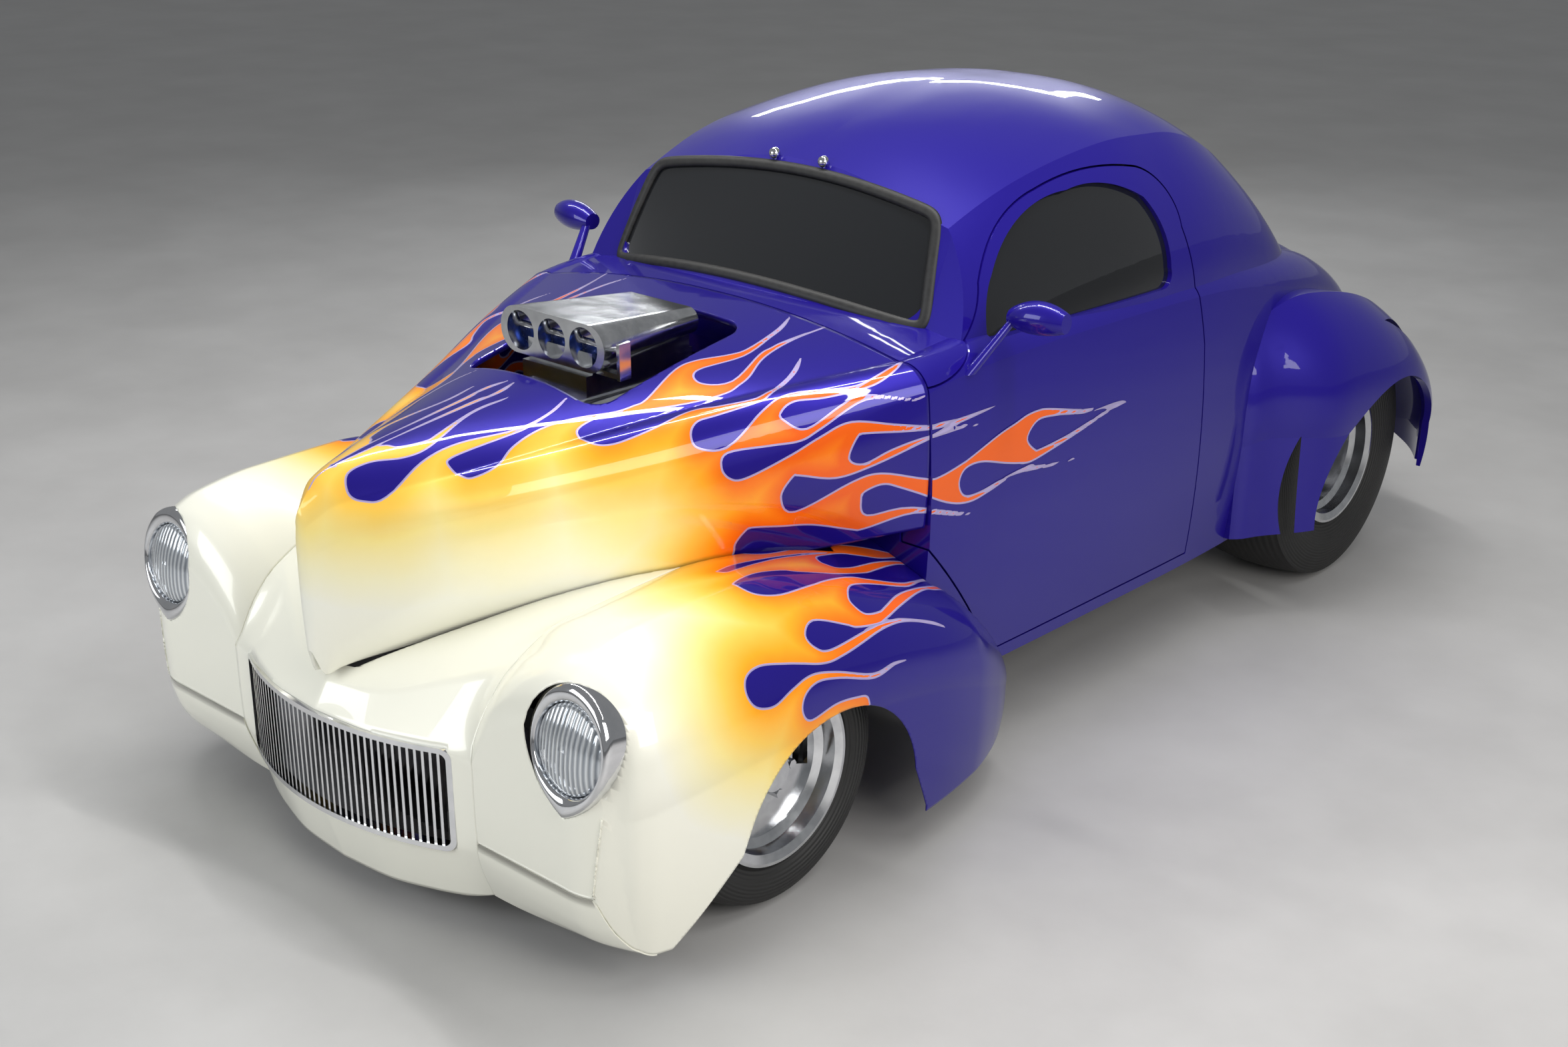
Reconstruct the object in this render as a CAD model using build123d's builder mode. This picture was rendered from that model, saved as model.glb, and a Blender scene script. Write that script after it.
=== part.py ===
import math
import os

from build123d import *

os.makedirs("parts", exist_ok=True)

# Lengths are in millimetres. The car stands on Z 0 and faces -Y, and its left side is +X.
# Tables give Y from the front axle, and at() turns that into the frame's Y.
WHEELBASE = 2540.0
FRONT_OVERHANG = 662.0
TAIL_END = 3325.0
FRONT_AXLE = (FRONT_OVERHANG - TAIL_END) / 2
GAP = 5.0
WALL = 42.0
SKIN = 16.0
TOUCH = 0.4
SEAT = 0.3


def at(y):
    return FRONT_AXLE + y


def station(y):
    return Plane.XZ.offset(-at(y))


def keep(part, name):
    part.part.label = name
    export_step(part.part, "parts/" + name + ".step")


# Wheels: rim lip radius, tyre radius, width and plane, and how far the disc sits in from the lip.
LIP_R = 207.0
FRONT_TYRE_R, FRONT_TYRE_W, FRONT_TYRE_X = 311.0, 166.0, 705.0
REAR_TYRE_R, REAR_TYRE_W, REAR_TYRE_X = 382.0, 330.0, 566.0
FRONT_RIM_W, REAR_RIM_W = 152.0, 310.0
FRONT_DISC, REAR_DISC, DISC_T, PAD_T = 52.0, 150.0, 14.0, 12.0
FRONT_LIP_X = FRONT_TYRE_X + FRONT_RIM_W / 2
REAR_LIP_X = REAR_TYRE_X + REAR_RIM_W / 2
FRONT_PAD_X = FRONT_LIP_X - FRONT_DISC - DISC_T - PAD_T
REAR_PAD_X = REAR_LIP_X - REAR_DISC - DISC_T - PAD_T
KINGPIN_X = 660.0

# Body tub sections: sill, side and belt, shoulder corner and crown, by station.
TUB = [
    dict(y=590, sill_x=655, low=245, mid_x=698, belt_x=690, belt_z=1025, edge_x=600, edge_z=1084, top=1145),
    dict(y=900, sill_x=668, low=245, mid_x=706, belt_x=694, belt_z=1050, edge_x=600, edge_z=1105, top=1150),
    dict(y=1750, sill_x=672, low=245, mid_x=708, belt_x=694, belt_z=1030, edge_x=600, edge_z=1085, top=1120),
    dict(y=2150, sill_x=655, low=250, mid_x=694, belt_x=672, belt_z=975, edge_x=570, edge_z=1050, top=1100),
    dict(y=2500, sill_x=625, low=290, mid_x=650, belt_x=620, belt_z=880, edge_x=500, edge_z=990, top=1062),
    dict(y=2850, sill_x=560, low=295, mid_x=580, belt_x=540, belt_z=730, edge_x=420, edge_z=850, top=935),
    dict(y=3100, sill_x=470, low=310, mid_x=485, belt_x=445, belt_z=570, edge_x=335, edge_z=680, top=765),
    dict(y=3270, sill_x=370, low=330, mid_x=380, belt_x=345, belt_z=440, edge_x=255, edge_z=515, top=575),
    dict(y=3325, sill_x=290, low=360, mid_x=296, belt_x=265, belt_z=405, edge_x=200, edge_z=445, top=480),
]
# Roof sections: foot of the side, bulge, rail and crown, by station.
ROOF = [
    dict(y=560, foot_x=622, foot=960, bulge_x=594, bulge_z=1120, rail_x=520, rail_z=1215, crown_z=1262, top=1285),
    dict(y=905, foot_x=652, foot=960, bulge_x=620, bulge_z=1205, rail_x=518, rail_z=1348, crown_z=1398, top=1418),
    dict(y=1200, foot_x=668, foot=960, bulge_x=642, bulge_z=1240, rail_x=535, rail_z=1432, crown_z=1496, top=1520),
    dict(y=1500, foot_x=674, foot=960, bulge_x=652, bulge_z=1255, rail_x=535, rail_z=1458, crown_z=1530, top=1556),
    dict(y=1800, foot_x=668, foot=960, bulge_x=646, bulge_z=1240, rail_x=525, rail_z=1432, crown_z=1508, top=1536),
    dict(y=2060, foot_x=645, foot=950, bulge_x=622, bulge_z=1175, rail_x=500, rail_z=1335, crown_z=1422, top=1454),
    dict(y=2260, foot_x=612, foot=930, bulge_x=585, bulge_z=1090, rail_x=460, rail_z=1205, crown_z=1278, top=1306),
    dict(y=2440, foot_x=562, foot=880, bulge_x=535, bulge_z=985, rail_x=420, rail_z=1060, crown_z=1110, top=1128),
    dict(y=2560, foot_x=520, foot=840, bulge_x=495, bulge_z=905, rail_x=390, rail_z=950, crown_z=985, top=998),
]


def spread(table, stations):
    """Rows at the given stations, with every column on a monotone cubic through the table."""
    ys = [row["y"] for row in table]
    rows = [dict(y=y) for y in stations]
    for column in table[0]:
        if column == "y":
            continue
        v = [row[column] for row in table]
        steps = [(v[i + 1] - v[i]) / (ys[i + 1] - ys[i]) for i in range(len(v) - 1)]
        inner_slopes = [0 if a * b <= 0 else 2 * a * b / (a + b) for a, b in zip(steps, steps[1:])]
        slopes = [steps[0]] + inner_slopes + [steps[-1]]
        for row in rows:
            i = max(k for k in range(len(steps)) if ys[k] <= row["y"])
            h = ys[i + 1] - ys[i]
            u = (row["y"] - ys[i]) / h
            row[column] = (
                v[i] * (1 + 2 * u) * (1 - u) ** 2
                + slopes[i] * h * u * (1 - u) ** 2
                + v[i + 1] * u * u * (3 - 2 * u)
                + slopes[i + 1] * h * u * u * (u - 1)
            )
    return rows


def tub_section(s, t):
    low = s["low"] + t * 0.6
    points = [(s["sill_x"] - t, low), (s["belt_x"] - t, s["belt_z"] - t / 2), (s["edge_x"] - t / 2, s["edge_z"] - t)]
    side = (s["mid_x"] - t, (low + s["belt_z"]) / 2)
    corner_x = s["belt_x"] - t - (s["belt_x"] - s["edge_x"]) * 0.22
    corner = (corner_x, s["belt_z"] + (s["edge_z"] - s["belt_z"]) * 0.62 - t * 0.85)
    crown = ((s["edge_x"] - t / 2) * 0.55, s["edge_z"] + (s["top"] - s["edge_z"]) * 0.72 - t)
    top = (0, s["top"] - t)
    with BuildSketch(station(s["y"])) as section:
        with BuildLine():
            for sign in (1, -1):
                ThreePointArc(*[(sign * p[0], p[1]) for p in (points[0], side, points[1])])
                ThreePointArc(*[(sign * p[0], p[1]) for p in (points[1], corner, points[2])])
                ThreePointArc(*[(sign * p[0], p[1]) for p in (points[2], crown, top)])
            Line((-points[0][0], low), (points[0][0], low))
        make_face()
    return section.sketch


def roof_section(s, t):
    foot = (s["foot_x"] - t, s["foot"])
    bulge = (s["bulge_x"] - t, s["bulge_z"] - t * 0.3)
    rail = (s["rail_x"] - t * 0.75, s["rail_z"] - t * 0.75)
    crown = ((s["rail_x"] - t * 0.75) * 0.56, s["crown_z"] - t)
    top = (0, s["top"] - t)
    with BuildSketch(station(s["y"])) as section:
        with BuildLine():
            for sign in (1, -1):
                ThreePointArc(*[(sign * p[0], p[1]) for p in (foot, bulge, rail)])
                ThreePointArc(*[(sign * p[0], p[1]) for p in (rail, crown, top)])
            Line((-foot[0], foot[1]), (foot[0], foot[1]))
        make_face()
    return section.sketch


TUB_STATIONS = [590, 810, 1030, 1250, 1470, 1690, 1910, 2130, 2340, 2540, 2720, 2880, 3020, 3130, 3215, 3280, 3325]
ROOF_STATIONS = [560, 740, 920, 1100, 1280, 1460, 1640, 1820, 2000, 2170, 2320, 2450, 2560]
HOOD_STATIONS = [-648, -600, -530, -440, -330, -200, -60, 90, 250, 415, 585]
FENDER_STATIONS = [-567, -550, -523, -480, -415, -325, -210, -80, 60, 200, 335, 460, 570, 665, 745, 815, 876]

# Windscreen face: a ruled surface between a deep arc at the cowl and a shallow one at the header.
SCREEN = [dict(z=900, mid=440, side=672), dict(z=1700, mid=1168, side=1031)]
SCREEN_X = 530.0


def ahead_of_screen(shift):
    with BuildPart() as cut:
        for s in SCREEN:
            side = (SCREEN_X, at(s["side"] + shift))
            wide = (900, at(s["side"] + shift + 30))
            with BuildSketch(Plane.XY.offset(s["z"])):
                with BuildLine():
                    ThreePointArc((-side[0], side[1]), (0, at(s["mid"] + shift)), side)
                    Polyline(side, wide, (900, at(-400)), (-900, at(-400)), (-wide[0], wide[1]), (-side[0], side[1]))
                make_face()
        loft(ruled=True)
    return cut.part


def roof_volume(t):
    front = ahead_of_screen(t)
    with BuildPart() as roof:
        loft([roof_section(s, t) for s in spread(ROOF, ROOF_STATIONS)])
        add(front, mode=Mode.SUBTRACT)
    return roof.part


def body_volume(t):
    roof = roof_volume(t)
    with BuildPart() as tub:
        loft([tub_section(s, t) for s in spread(TUB, TUB_STATIONS[:-1] if t else TUB_STATIONS)])
        if t:
            with Locations((0, at(590) + t / 2 - 20, 700)):
                Box(2000, t + 40, 2000, mode=Mode.SUBTRACT)
        add(roof)
    return tub.part


def side_plane(x):
    return Plane.YZ.offset(x)


def slab(sketch, x0, x1):
    with BuildPart() as cut:
        with BuildSketch(side_plane(x0)):
            add(sketch)
        extrude(amount=x1 - x0)
    return cut.part


def path(*pieces):
    with BuildSketch() as face:
        with BuildLine():
            for piece in pieces:
                points = [(at(y), z) for y, z in piece]
                if len(points) == 2:
                    Line(*points)
                else:
                    ThreePointArc(*points)
        make_face()
    return face.sketch


def grown(sketch, amount):
    with BuildSketch() as face:
        add(sketch)
        offset(amount=amount)
    return face.sketch


def box(x, y, z):
    with Locations(((x[0] + x[1]) / 2, at((y[0] + y[1]) / 2), (z[0] + z[1]) / 2)):
        Box(x[1] - x[0], y[1] - y[0], z[1] - z[0])


def mirrored(part):
    return mirror(part, about=Plane.YZ)


# Side view outlines: door leaf and its glass, as chains of lines and arcs.
SILL_Z = 283
DOOR = path(
    ((1769, SILL_Z), (873, SILL_Z)),
    ((873, SILL_Z), (759, 446), (592, 644)),
    ((592, 644), (586, 1037)),
    ((586, 1037), (770, 1092), (866, 1216)),
    ((866, 1216), (977, 1322), (1140, 1388)),
    ((1140, 1388), (1330, 1411), (1519, 1394)),
    ((1519, 1394), (1626, 1331), (1662, 1224)),
    ((1662, 1224), (1712, 1060), (1745, 900)),
    ((1745, 900), (1769, SILL_Z)),
)
LIGHT = path(
    ((856, 1089), (1560, 1081)),
    ((1560, 1081), (1588, 1094), (1594, 1128)),
    ((1594, 1128), (1569, 1250), (1522, 1320)),
    ((1522, 1320), (1395, 1370), (1244, 1374)),
    ((1244, 1374), (1030, 1322), (912, 1226)),
    ((912, 1226), (868, 1160), (856, 1089)),
)

outer = body_volume(0)
inner = body_volume(WALL)
glass_out = roof_volume(12)
glass_in = roof_volume(18)

# Wheel arch and window outlines that are cut through the shell.
ARCH_R, ARCH_Y, ARCH_Z = 350.0, 2560.0, 305.0
WELL_R = 436.0
SCREEN_CUT = dict(low_x=528, low_z=1104, mid_z=1160, high_x=478, high_z=1352, crown_z=1396, round=55)
BACK_CUT = dict(low_x=330, low_z=1130, high_x=285, high_z=1322, round=70)
# The lid outline lies on LID Z, and its sides lean back as they rise, along the lid's own swing.
LID = dict(front_y=2141, front_x=440, mid_y=2558, mid_x=395, rear_y=3110, rear_x=215, round=60, z=400, lean=0.7)


def screen_outline(inset):
    c = SCREEN_CUT
    with BuildSketch(station(300)) as face:
        with BuildLine():
            ThreePointArc((-c["low_x"], c["low_z"]), (0, c["mid_z"]), (c["low_x"], c["low_z"]))
            Line((c["low_x"], c["low_z"]), (c["high_x"], c["high_z"]))
            ThreePointArc((c["high_x"], c["high_z"]), (0, c["crown_z"]), (-c["high_x"], c["high_z"]))
            Line((-c["high_x"], c["high_z"]), (-c["low_x"], c["low_z"]))
        make_face()
        fillet(face.vertices(), c["round"])
        if inset:
            offset(amount=-inset)
    return face.sketch


def back_outline(inset):
    c = BACK_CUT
    with BuildSketch(station(2000)) as face:
        with BuildLine():
            Polyline(
                (-c["low_x"], c["low_z"]), (c["low_x"], c["low_z"]), (c["high_x"], c["high_z"]),
                (-c["high_x"], c["high_z"]), close=True
            )
        make_face()
        fillet(face.vertices(), c["round"])
        if inset:
            offset(amount=-inset)
    return face.sketch


def lid_outline(growth):
    c = LID
    with BuildSketch(Plane.XY.offset(c["z"])) as face:
        with BuildLine():
            Line((-c["front_x"], at(c["front_y"])), (c["front_x"], at(c["front_y"])))
            ThreePointArc(
                (c["front_x"], at(c["front_y"])), (c["mid_x"], at(c["mid_y"])), (c["rear_x"], at(c["rear_y"]))
            )
            Line((c["rear_x"], at(c["rear_y"])), (-c["rear_x"], at(c["rear_y"])))
            ThreePointArc(
                (-c["rear_x"], at(c["rear_y"])), (-c["mid_x"], at(c["mid_y"])), (-c["front_x"], at(c["front_y"]))
            )
        make_face()
        fillet(face.vertices(), c["round"])
        offset(amount=growth)
    return face.sketch


# The floor opening and the door leaf's zone: the leaf takes only the side wall below the step.
CABIN_X = 590.0
DOOR_X, DOOR_STEP_Z, DOOR_IN = 614.0, 1150.0, 480.0


def door_zone(growth):
    leaf = slab(grown(DOOR, growth), DOOR_IN, 900)
    low_x = DOOR_X - growth
    with BuildPart() as zone:
        add(leaf)
        with Locations(((DOOR_IN + low_x) / 2 - 5, at(1200), DOOR_STEP_Z / 2)):
            Box(low_x - DOOR_IN + 10, 2000, DOOR_STEP_Z, mode=Mode.SUBTRACT)
    return zone.part


door_hole = door_zone(GAP / 2)
door_leaf = door_zone(-GAP / 2)
light_hole = slab(LIGHT, DOOR_IN, 900)
light_pane = slab(grown(LIGHT, -TOUCH), DOOR_IN, 900)
screen_hole, screen_pane = screen_outline(0), screen_outline(TOUCH)
back_hole, back_pane = back_outline(0), back_outline(TOUCH)
lid_hole, lid_leaf = lid_outline(GAP / 2 + 0.5), lid_outline(-GAP / 2 - 0.5)
LID_DIR, LID_LONG = (0, LID["lean"], 1), 1000
screen_front, screen_back = ahead_of_screen(8), ahead_of_screen(14)

with BuildPart() as shell:
    add(outer)
    add(inner, mode=Mode.SUBTRACT)
    with Locations((0, at((633 + 3150) / 2), 150)):
        Box(2 * CABIN_X, 3150 - 633, 400, mode=Mode.SUBTRACT)
whole_shell = shell.part

with BuildPart() as body_shell:
    add(whole_shell)
    add(door_hole, mode=Mode.SUBTRACT)
    add(mirrored(door_hole), mode=Mode.SUBTRACT)
    for sign in (1, -1):
        with Locations((sign * 650, at(WHEELBASE), REAR_TYRE_R)):
            Cylinder(WELL_R, 560, rotation=(0, 90, 0), mode=Mode.SUBTRACT)
    extrude(screen_hole, amount=-700, mode=Mode.SUBTRACT)
    extrude(back_hole, amount=-700, mode=Mode.SUBTRACT)
    extrude(lid_hole, amount=LID_LONG, dir=LID_DIR, mode=Mode.SUBTRACT)
print("body_shell", len(body_shell.solids()), round(body_shell.part.volume / 1e6, 2))
keep(body_shell, "body_shell")

with BuildPart() as trunk_lid:
    add(whole_shell)
    extrude(lid_leaf, amount=LID_LONG, dir=LID_DIR, mode=Mode.INTERSECT)
print("trunk_lid", len(trunk_lid.solids()), round(trunk_lid.part.volume / 1e6, 2))
keep(trunk_lid, "trunk_lid")

with BuildPart() as door:
    add(whole_shell)
    add(door_leaf, mode=Mode.INTERSECT)
    add(light_hole, mode=Mode.SUBTRACT)
print("door", len(door.solids()), round(door.part.volume / 1e6, 2))
keep(door, "door_left")
with BuildPart() as door_right:
    add(mirrored(door.part))
keep(door_right, "door_right")

with BuildPart() as door_glass:
    add(glass_out)
    add(light_pane, mode=Mode.INTERSECT)
    add(glass_in, mode=Mode.SUBTRACT)
print("door_glass", len(door_glass.solids()), round(door_glass.part.volume / 1e6, 3))
keep(door_glass, "door_glass_left")
with BuildPart() as door_glass_right:
    add(mirrored(door_glass.part))
keep(door_glass_right, "door_glass_right")

with BuildPart() as windscreen:
    add(screen_back)
    add(screen_front, mode=Mode.SUBTRACT)
    extrude(screen_pane, amount=-700, mode=Mode.INTERSECT)
print("windscreen", len(windscreen.solids()), round(windscreen.part.volume / 1e6, 3))
keep(windscreen, "windscreen")

with BuildPart() as rear_window:
    add(glass_out)
    extrude(back_pane, amount=-700, mode=Mode.INTERSECT)
    add(glass_in, mode=Mode.SUBTRACT)
print("rear_window", len(rear_window.solids()), round(rear_window.part.volume / 1e6, 3))
keep(rear_window, "rear_window")

# Hood sections: lower edge, side, belt, shoulder and crown, by station.
HOOD = [
    dict(y=-648, foot_x=8, foot_z=640, side_x=16, belt_x=16, belt_z=800, edge_x=11, edge_z=868, top=905),
    dict(y=-590, foot_x=32, foot_z=540, side_x=76, belt_x=76, belt_z=845, edge_x=54, edge_z=918, top=972),
    dict(y=-480, foot_x=86, foot_z=562, side_x=160, belt_x=158, belt_z=862, edge_x=112, edge_z=938, top=998),
    dict(y=-300, foot_x=168, foot_z=588, side_x=260, belt_x=258, belt_z=885, edge_x=188, edge_z=962, top=1024),
    dict(y=0, foot_x=345, foot_z=621, side_x=418, belt_x=410, belt_z=930, edge_x=310, edge_z=1005, top=1064),
    dict(y=300, foot_x=520, foot_z=667, side_x=572, belt_x=560, belt_z=985, edge_x=462, edge_z=1052, top=1107),
    dict(y=585, foot_x=690, foot_z=700, side_x=698, belt_x=690, belt_z=1025, edge_x=600, edge_z=1084, top=1145),
]
HOOD_SKIN = 20.0
HOLE = dict(x=235, front=-18, rear=470, round=60)


def hood_section(s, t):
    foot = (s["foot_x"] - t, s["foot_z"] - (60 if t else 0))
    side = (s["side_x"] - t, (s["foot_z"] + s["belt_z"]) / 2)
    belt = (s["belt_x"] - t, s["belt_z"] - t / 2)
    edge = (s["edge_x"] - t / 2, s["edge_z"] - t)
    corner = (belt[0] - (belt[0] - edge[0]) * 0.22, belt[1] + (edge[1] - belt[1]) * 0.62)
    crown = (edge[0] * 0.55, edge[1] + (s["top"] - t - edge[1]) * 0.72)
    with BuildSketch(station(s["y"] if s["y"] > 500 else s["y"] + t)) as section:
        with BuildLine():
            for sign in (1, -1):
                ThreePointArc(*[(sign * p[0], p[1]) for p in (foot, side, belt)])
                ThreePointArc(*[(sign * p[0], p[1]) for p in (belt, corner, edge)])
                ThreePointArc(*[(sign * p[0], p[1]) for p in (edge, crown, (0, s["top"] - t))])
            Line((-foot[0], foot[1]), (foot[0], foot[1]))
        make_face()
    return section.sketch


with BuildPart() as hood_block:
    loft([hood_section(s, 0) for s in spread(HOOD, HOOD_STATIONS)])
with BuildPart() as hood_room:
    loft([hood_section(s, HOOD_SKIN) for s in spread(HOOD, HOOD_STATIONS[1:])])
with BuildPart() as hood:
    add(hood_block.part)
    add(hood_room.part, mode=Mode.SUBTRACT)
    with BuildSketch(Plane.XY.offset(800)):
        with Locations((0, at((HOLE["front"] + HOLE["rear"]) / 2))):
            RectangleRounded(2 * HOLE["x"], HOLE["rear"] - HOLE["front"], HOLE["round"])
    extrude(amount=600, mode=Mode.SUBTRACT)
print("hood", len(hood.solids()), hood.part.volume / 1e6)
keep(hood, "hood")

# Front fender sections from the seam at IN_X out: seam height, crown, outer side and lower edge.
SEAM_X = 420.0
FENDER = [
    dict(y=-567, in_x=432, in_z=440, crown_x=712, crown_z=592, out_x=798, out_z=430, low_x=775, low_z=250, bow=0.9),
    dict(y=-550, in_x=SEAM_X, in_z=478, crown_x=708, crown_z=655, out_x=832, out_z=430, low_x=802, low_z=168, bow=0.8),
    dict(y=-515, in_x=SEAM_X, in_z=538, crown_x=703, crown_z=702, out_x=854, out_z=435, low_x=822, low_z=122, bow=0.7),
    dict(y=-450, in_x=SEAM_X, in_z=604, crown_x=695, crown_z=732, out_x=870, out_z=442, low_x=838, low_z=100, bow=0.5),
    dict(y=-300, in_x=SEAM_X, in_z=668, crown_x=690, crown_z=752, out_x=882, out_z=450, low_x=858, low_z=90, bow=0.3),
    dict(y=-50, in_x=SEAM_X, in_z=682, crown_x=692, crown_z=754, out_x=888, out_z=460, low_x=872, low_z=90, bow=0.2),
    dict(y=200, in_x=SEAM_X, in_z=690, crown_x=698, crown_z=705, out_x=886, out_z=440, low_x=872, low_z=90, bow=0.2),
    dict(y=420, in_x=SEAM_X, in_z=690, crown_x=704, crown_z=632, out_x=876, out_z=400, low_x=862, low_z=95, bow=0),
    dict(y=600, in_x=SEAM_X, in_z=650, crown_x=706, crown_z=556, out_x=856, out_z=340, low_x=842, low_z=105, bow=0),
    dict(y=720, in_x=SEAM_X, in_z=580, crown_x=706, crown_z=462, out_x=820, out_z=290, low_x=806, low_z=112, bow=0),
    dict(y=820, in_x=SEAM_X, in_z=480, crown_x=704, crown_z=350, out_x=770, out_z=240, low_x=758, low_z=120, bow=0),
    dict(y=876, in_x=SEAM_X, in_z=380, crown_x=700, crown_z=255, out_x=726, out_z=200, low_x=718, low_z=130, bow=0),
]


def fender_section(s, t):
    open_side = 30 if t and s["in_x"] < SEAM_X + 1 else -t
    start = (s["in_x"] - open_side, s["in_z"] - t)
    top = (s["crown_x"], s["crown_z"] - t)
    side = (s["out_x"] - t, s["out_z"])
    low = (s["low_x"] - t, s["low_z"] - (60 if t else 0))
    bow = 0.21 * s["bow"]
    first = (start[0] + (0.5 - bow) * (top[0] - start[0]), start[1] + (0.5 + bow) * (top[1] - start[1]) + 4)
    turn = (top[0] + 0.71 * (side[0] - top[0]), side[1] + 0.71 * (top[1] - side[1]))
    flank = (side[0] - 0.2 * (side[0] - low[0]), (side[1] + low[1]) / 2)
    shift = t if s["y"] < 0 else (-t if s["y"] > 800 else 0)
    with BuildSketch(station(s["y"] + shift)) as section:
        with BuildLine():
            ThreePointArc(start, first, top)
            ThreePointArc(top, turn, side)
            ThreePointArc(side, flank, low)
            Line(low, (start[0], low[1]))
            Line((start[0], low[1]), start)
        make_face()
    return section.sketch


FRONT_ARCH = dict(y=60, z=195, r=285)
with BuildPart() as arch_cut:
    with BuildSketch(side_plane(560)):
        with Locations((at(FRONT_ARCH["y"]), FRONT_ARCH["z"])):
            Circle(FRONT_ARCH["r"])
        with BuildLine():
            Polyline(
                (at(-205), 300), (at(-225), 250), (at(-420), 80), (at(-420), -50),
                (at(412), -50), (at(400), 110), (at(330), 260), close=True
            )
        make_face()
    extrude(amount=400)

# Headlamp: lens centre, lean back and the teardrop bezel round it.
LAMP = dict(x=715, y=-538, z=560, lean=9.6, lens_r=96, bezel_w=112, bezel_up=138, bezel_down=146, deep=26)
LEAN = math.radians(LAMP["lean"])
lamp_plane = Plane(
    origin=(LAMP["x"], at(LAMP["y"]), LAMP["z"]), x_dir=(1, 0, 0), z_dir=(0, -math.cos(LEAN), math.sin(LEAN))
)


def bezel_face(inset):
    w, up, down = LAMP["bezel_w"] - inset, LAMP["bezel_up"] - inset, LAMP["bezel_down"] - inset * 1.2
    with BuildSketch(lamp_plane.offset(-60)) as face:
        with BuildLine():
            ThreePointArc((w, 10), (0.74 * w, 0.71 * up), (0, up))
            ThreePointArc((0, up), (-0.74 * w, 0.71 * up), (-w, 10))
            ThreePointArc((-w, 10), (-0.62 * w, -0.66 * down), (0, -down))
            ThreePointArc((0, -down), (0.62 * w, -0.66 * down), (w, 10))
        make_face()
    return face.sketch


bezel_whole, bezel_hole = bezel_face(0), bezel_face(-TOUCH)
with BuildPart() as bezel:
    extrude(bezel_whole, amount=60 + 14)
    with BuildSketch(lamp_plane.offset(-70)):
        Circle(LAMP["lens_r"] + 1)
    extrude(amount=120, mode=Mode.SUBTRACT)
with BuildPart() as lamp:
    with BuildSketch(lamp_plane.offset(-90)):
        Circle(LAMP["lens_r"] - 12)
    with BuildSketch(lamp_plane.offset(-10)):
        Circle(LAMP["lens_r"])
    loft()
    with BuildSketch(lamp_plane.offset(-10)):
        Circle(LAMP["lens_r"])
    extrude(amount=16)
    with BuildSketch(lamp_plane.offset(6)):
        Circle(LAMP["lens_r"] - 4)
    with BuildSketch(lamp_plane.offset(24)):
        Circle(LAMP["lens_r"] - 60)
    loft()
    with BuildSketch(lamp_plane.offset(-90)):
        Circle(LAMP["lens_r"] + 60)
    extrude(amount=-40, mode=Mode.SUBTRACT)

with BuildPart() as fender_block:
    loft([fender_section(s, 0) for s in spread(FENDER, FENDER_STATIONS)])
with BuildPart() as fender_room:
    loft([fender_section(s, SKIN) for s in spread(FENDER, FENDER_STATIONS[1:])])
print("fender block", fender_block.part.volume / 1e6, "room", fender_room.part.volume / 1e6)
with BuildPart() as hood_clear:
    loft([hood_section(s, -4) for s in spread(HOOD, HOOD_STATIONS)])
with BuildPart() as body_clear:
    with Locations((0, at(2000), 650)):
        Box(2 * 712, 2 * (2000 - 590 + TOUCH), 1300)
with BuildPart() as fender:
    add(fender_block.part)
    add(fender_room.part, mode=Mode.SUBTRACT)
    add(arch_cut.part, mode=Mode.SUBTRACT)
    add(hood_clear.part, mode=Mode.SUBTRACT)
    add(body_clear.part, mode=Mode.SUBTRACT)
    extrude(bezel_hole, amount=200, mode=Mode.SUBTRACT)
    with BuildSketch(lamp_plane.offset(-200)):
        Circle(LAMP["lens_r"] + 1)
    extrude(amount=300, mode=Mode.SUBTRACT)
print("fender", len(fender.solids()), [round(s.volume / 1e6, 2) for s in fender.solids()])
keep(fender, "front_fender_left")
with BuildPart() as fender_right:
    add(mirrored(fender.part))
keep(fender_right, "front_fender_right")
with BuildPart() as bezels:
    add(bezel.part)
    add(mirrored(bezel.part))
keep(bezels, "headlamp_bezels")
with BuildPart() as lamps:
    add(lamp.part)
    add(mirrored(lamp.part))
keep(lamps, "headlamps")

# Rear fender sections, from inside the body side out over the crown to the lower edge.
REAR_FENDER = [
    dict(y=1990, in_x=400, in_z=820, crown_x=640, crown_z=820, out_x=690, out_z=540, low_x=686, low_z=262, bow=0),
    dict(y=2080, in_x=400, in_z=880, crown_x=672, crown_z=895, out_x=752, out_z=560, low_x=744, low_z=262, bow=0),
    dict(y=2250, in_x=400, in_z=900, crown_x=706, crown_z=938, out_x=854, out_z=545, low_x=848, low_z=266, bow=0),
    dict(y=2400, in_x=400, in_z=880, crown_x=724, crown_z=920, out_x=876, out_z=540, low_x=868, low_z=268, bow=0),
    dict(y=2560, in_x=400, in_z=840, crown_x=728, crown_z=878, out_x=882, out_z=520, low_x=874, low_z=270, bow=0),
    dict(y=2720, in_x=400, in_z=770, crown_x=718, crown_z=805, out_x=874, out_z=480, low_x=862, low_z=272, bow=0),
    dict(y=2860, in_x=400, in_z=670, crown_x=694, crown_z=706, out_x=846, out_z=440, low_x=832, low_z=274, bow=0),
    dict(y=2980, in_x=400, in_z=560, crown_x=655, crown_z=590, out_x=788, out_z=400, low_x=776, low_z=278, bow=0),
    dict(y=3080, in_x=400, in_z=450, crown_x=600, crown_z=468, out_x=705, out_z=365, low_x=696, low_z=284, bow=0),
    dict(y=3150, in_x=400, in_z=370, crown_x=540, crown_z=378, out_x=610, out_z=335, low_x=604, low_z=300, bow=0),
]
REAR_STATIONS = [1990, 2060, 2140, 2230, 2330, 2440, 2550, 2660, 2770, 2870, 2960, 3035, 3100, 3150]


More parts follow.
